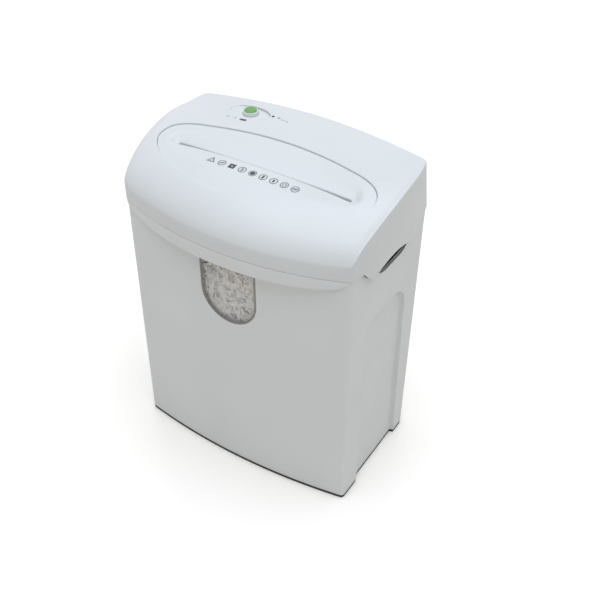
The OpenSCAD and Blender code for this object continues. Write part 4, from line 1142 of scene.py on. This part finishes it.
def make_heap():
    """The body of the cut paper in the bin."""
    skin = Skin()
    waves = [(random.uniform(0.05, 0.16), random.uniform(0, 6.3), random.uniform(0, 6.3))
             for _ in range(HEAP_WAVES)]

    def lump(x, y):
        heights = [math.sin(f * 1.7 * x + p) * math.sin(f * 2.1 * y + q) for f, p, q in waves]
        return sum(heights) / HEAP_WAVES

    def top_z(x, y):
        return (HEAP_TOP + LUMP_H * lump(x, y) - SIDE_FALL * (x / CORNER_X) ** 2
                - REAR_FALL * clamp01((y + 10) / 90))

    low, high = [bin_outline(HEAP_INSET, t, PANEL_BOW)[::2] for t in (0, HEAP_SHARE)]
    rings = []
    for k in range(HEAP_ROWS):
        t = k / (HEAP_ROWS - 1)
        fade = ease(t * DENT_FADE) * ease((1 - t) * DENT_FADE)
        ring = []
        for p, q in zip(low, high):
            x, y, z = *blend(p, q, t), lerp(HEAP_LOW, top_z(*q), t)
            d = 1 - DENT * max(0, lump(x * 1.4 + z, z * 1.3 - x)) * fade
            ring.append((x * d, y * d, z))
        rings.append(ring)
    skin.strip(rings)
    skin.patch(high, [], grid(*HEAP_GRID), at(top_z), near=1.5)
    skin.patch(low, [], [], at(HEAP_LOW))
    obj = skin.piece("paper_heap", [papers[CREAM_PAPER]], "bin", sharp=180)


def ribbon(skin, middle, along, normal, length, curl, slot, limit):
    """One curled strip of cut paper; limit(place, side) keeps its corners in their room."""
    side, rings = along.cross(normal).normalized(), []
    for k in range(RIBBON_N + 1):
        u = (k / RIBBON_N - 0.5) * length
        a = u * curl
        bend = (1 - math.cos(a)) / curl if abs(curl) > STRAIGHT else 0
        reach = math.sin(a) / curl if abs(curl) > STRAIGHT else u
        centre = middle + along * reach + normal * bend
        up = (normal * math.cos(a) - along * math.sin(a)) * (RIBBON_T / 2)
        rings.append([limit(centre + side * (s * RIBBON_W / 2) + up * t, t)
                      for s, t in ((-1, -1), (1, -1), (1, 1), (-1, 1))])
    skin.solid(rings, slot)


def make_shreds():
    """Loose shreds behind the window."""
    def behind_pane(p, t):
        near = panel_y(p.x) + PANE_SEAT + PANE_T + SHRED_GAP + RIBBON_T / 2 * t
        return (p.x, max(p.y, near), min(p.z, SHRED_TOP))

    skin = Skin()
    for _ in range(SHREDS):
        x, z = random.uniform(*SHRED_X), random.uniform(*SHRED_Z)
        depth, tilt = random.uniform(*SHRED_DEPTH), random.gauss(0, TILT)
        turn = random.gauss(0, TURN) + 0.5
        normal = Vector((math.sin(tilt) * 0.8, -1, random.gauss(0, NOD))).normalized()
        flat = Vector((math.sin(turn), 0, math.cos(turn)))
        along = (flat - normal * flat.dot(normal)).normalized()
        length, curl = random.uniform(*SHRED_LEN), random.gauss(0, CURL)
        ribbon(skin, Vector((x, panel_y(x) + depth, z)), along, normal, length, curl,
               random.choice(SHRED_MIX), behind_pane)
    obj = skin.piece("paper_shreds", papers, "bin", sharp=40, merge=0.0001)


# -------- the pieces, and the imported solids

for make in (make_hood, make_feed_panel, make_bin, make_foot_shadow, make_pane, make_dish, make_knob,
             make_cap, make_lenses, make_marks, make_heap, make_shreds):
    make()

slots = {row["node"]: row["material_slot"] for row in frame["record"]["subparts"]}
for name, obj in frame["nodes"].items():
    look = LOOKS.get(slots.get(name), pane_clear)
    for row in obj.material_slots:
        row.material = look


# -------- light, floor and view

WORLD_LIGHT, SKY = 0.345, (1.02, 1.0, 0.97)
SUN_ALONG, SUN_ANGLE, SUN_COLOR = Vector((-0.07, 0.05, -1.0)), 70, (0.91, 1.0, 1.11)
SUN_SHARE = 0.712  # the part of white that the sun gives a surface that faces it
FLOOR_HALF, FLOOR_ROUGH = 4, 0.16
FLOOR_LIT, FLOOR_SEEN = (0.80, 0.765, 0.70), (1.10, 1.05, 0.985)
VIEW_FROM, VIEW_ALONG = Vector((0.5069, -0.7396, 0.9277)), Vector((-0.4147, 0.6559, -0.6307))
VIEW_LENS = 56.8


def light_sky():
    """A white sky to the camera, glass and gloss, and a dimmer one that lights."""
    world = bpy.data.worlds.new("studio")
    bpy.context.scene.world = world
    world.use_nodes = True
    tree = world.node_tree
    tree.nodes.clear()
    path = node(tree, "LightPath", {}).outputs
    seen = path["Is Camera Ray"]
    for also in ("Is Transmission Ray", "Is Glossy Ray"):
        either = node(tree, "Math", {0: seen, 1: path[also]})
        either.operation = "MAXIMUM"
        seen = either.outputs[0]
    strength = spread(tree, seen, WORLD_LIGHT, 1.0)
    sky = node(tree, "Background", {"Color": (*SKY, 1), "Strength": strength})
    node(tree, "OutputWorld", {"Surface": sky.outputs[0]})


def light_sun():
    """A far, wide lamp overhead."""
    data = bpy.data.lights.new("overhead", "SUN")
    data.energy = SUN_SHARE * math.pi
    data.color = SUN_COLOR
    data.angle = math.radians(SUN_ANGLE)
    add("overhead", data).rotation_euler = SUN_ALONG.to_track_quat("-Z", "Y").to_euler()


def lay_floor():
    """A glossy floor, which the camera sees lighter than it is."""
    h = FLOOR_HALF
    mesh = bpy.data.meshes.new("floor")
    mesh.from_pydata([(-h, -h, 0), (h, -h, 0), (h, h, 0), (-h, h, 0)], [], [(0, 1, 2, 3)])
    look, tree, bsdf = material("floor", FLOOR_LIT, FLOOR_ROUGH)
    seen = node(tree, "LightPath", {}).outputs["Is Camera Ray"]
    mix = node(tree, "MixRGB", {"Fac": seen, "Color1": (*FLOOR_LIT, 1), "Color2": (*FLOOR_SEEN, 1)})
    feed(tree, bsdf, {"Base Color": mix.outputs["Color"]})
    mesh.materials.append(look)
    add("floor", mesh)


def set_view():
    """The camera, where the photo was taken from."""
    camera = bpy.data.cameras.new("camera")
    camera.lens = VIEW_LENS
    view = add("camera", camera)
    view.location = VIEW_FROM
    view.rotation_euler = VIEW_ALONG.to_track_quat("-Z", "Y").to_euler()
    bpy.context.scene.camera = view
    bpy.context.scene.view_settings.view_transform = "Standard"


light_sky()
light_sun()
lay_floor()
set_view()
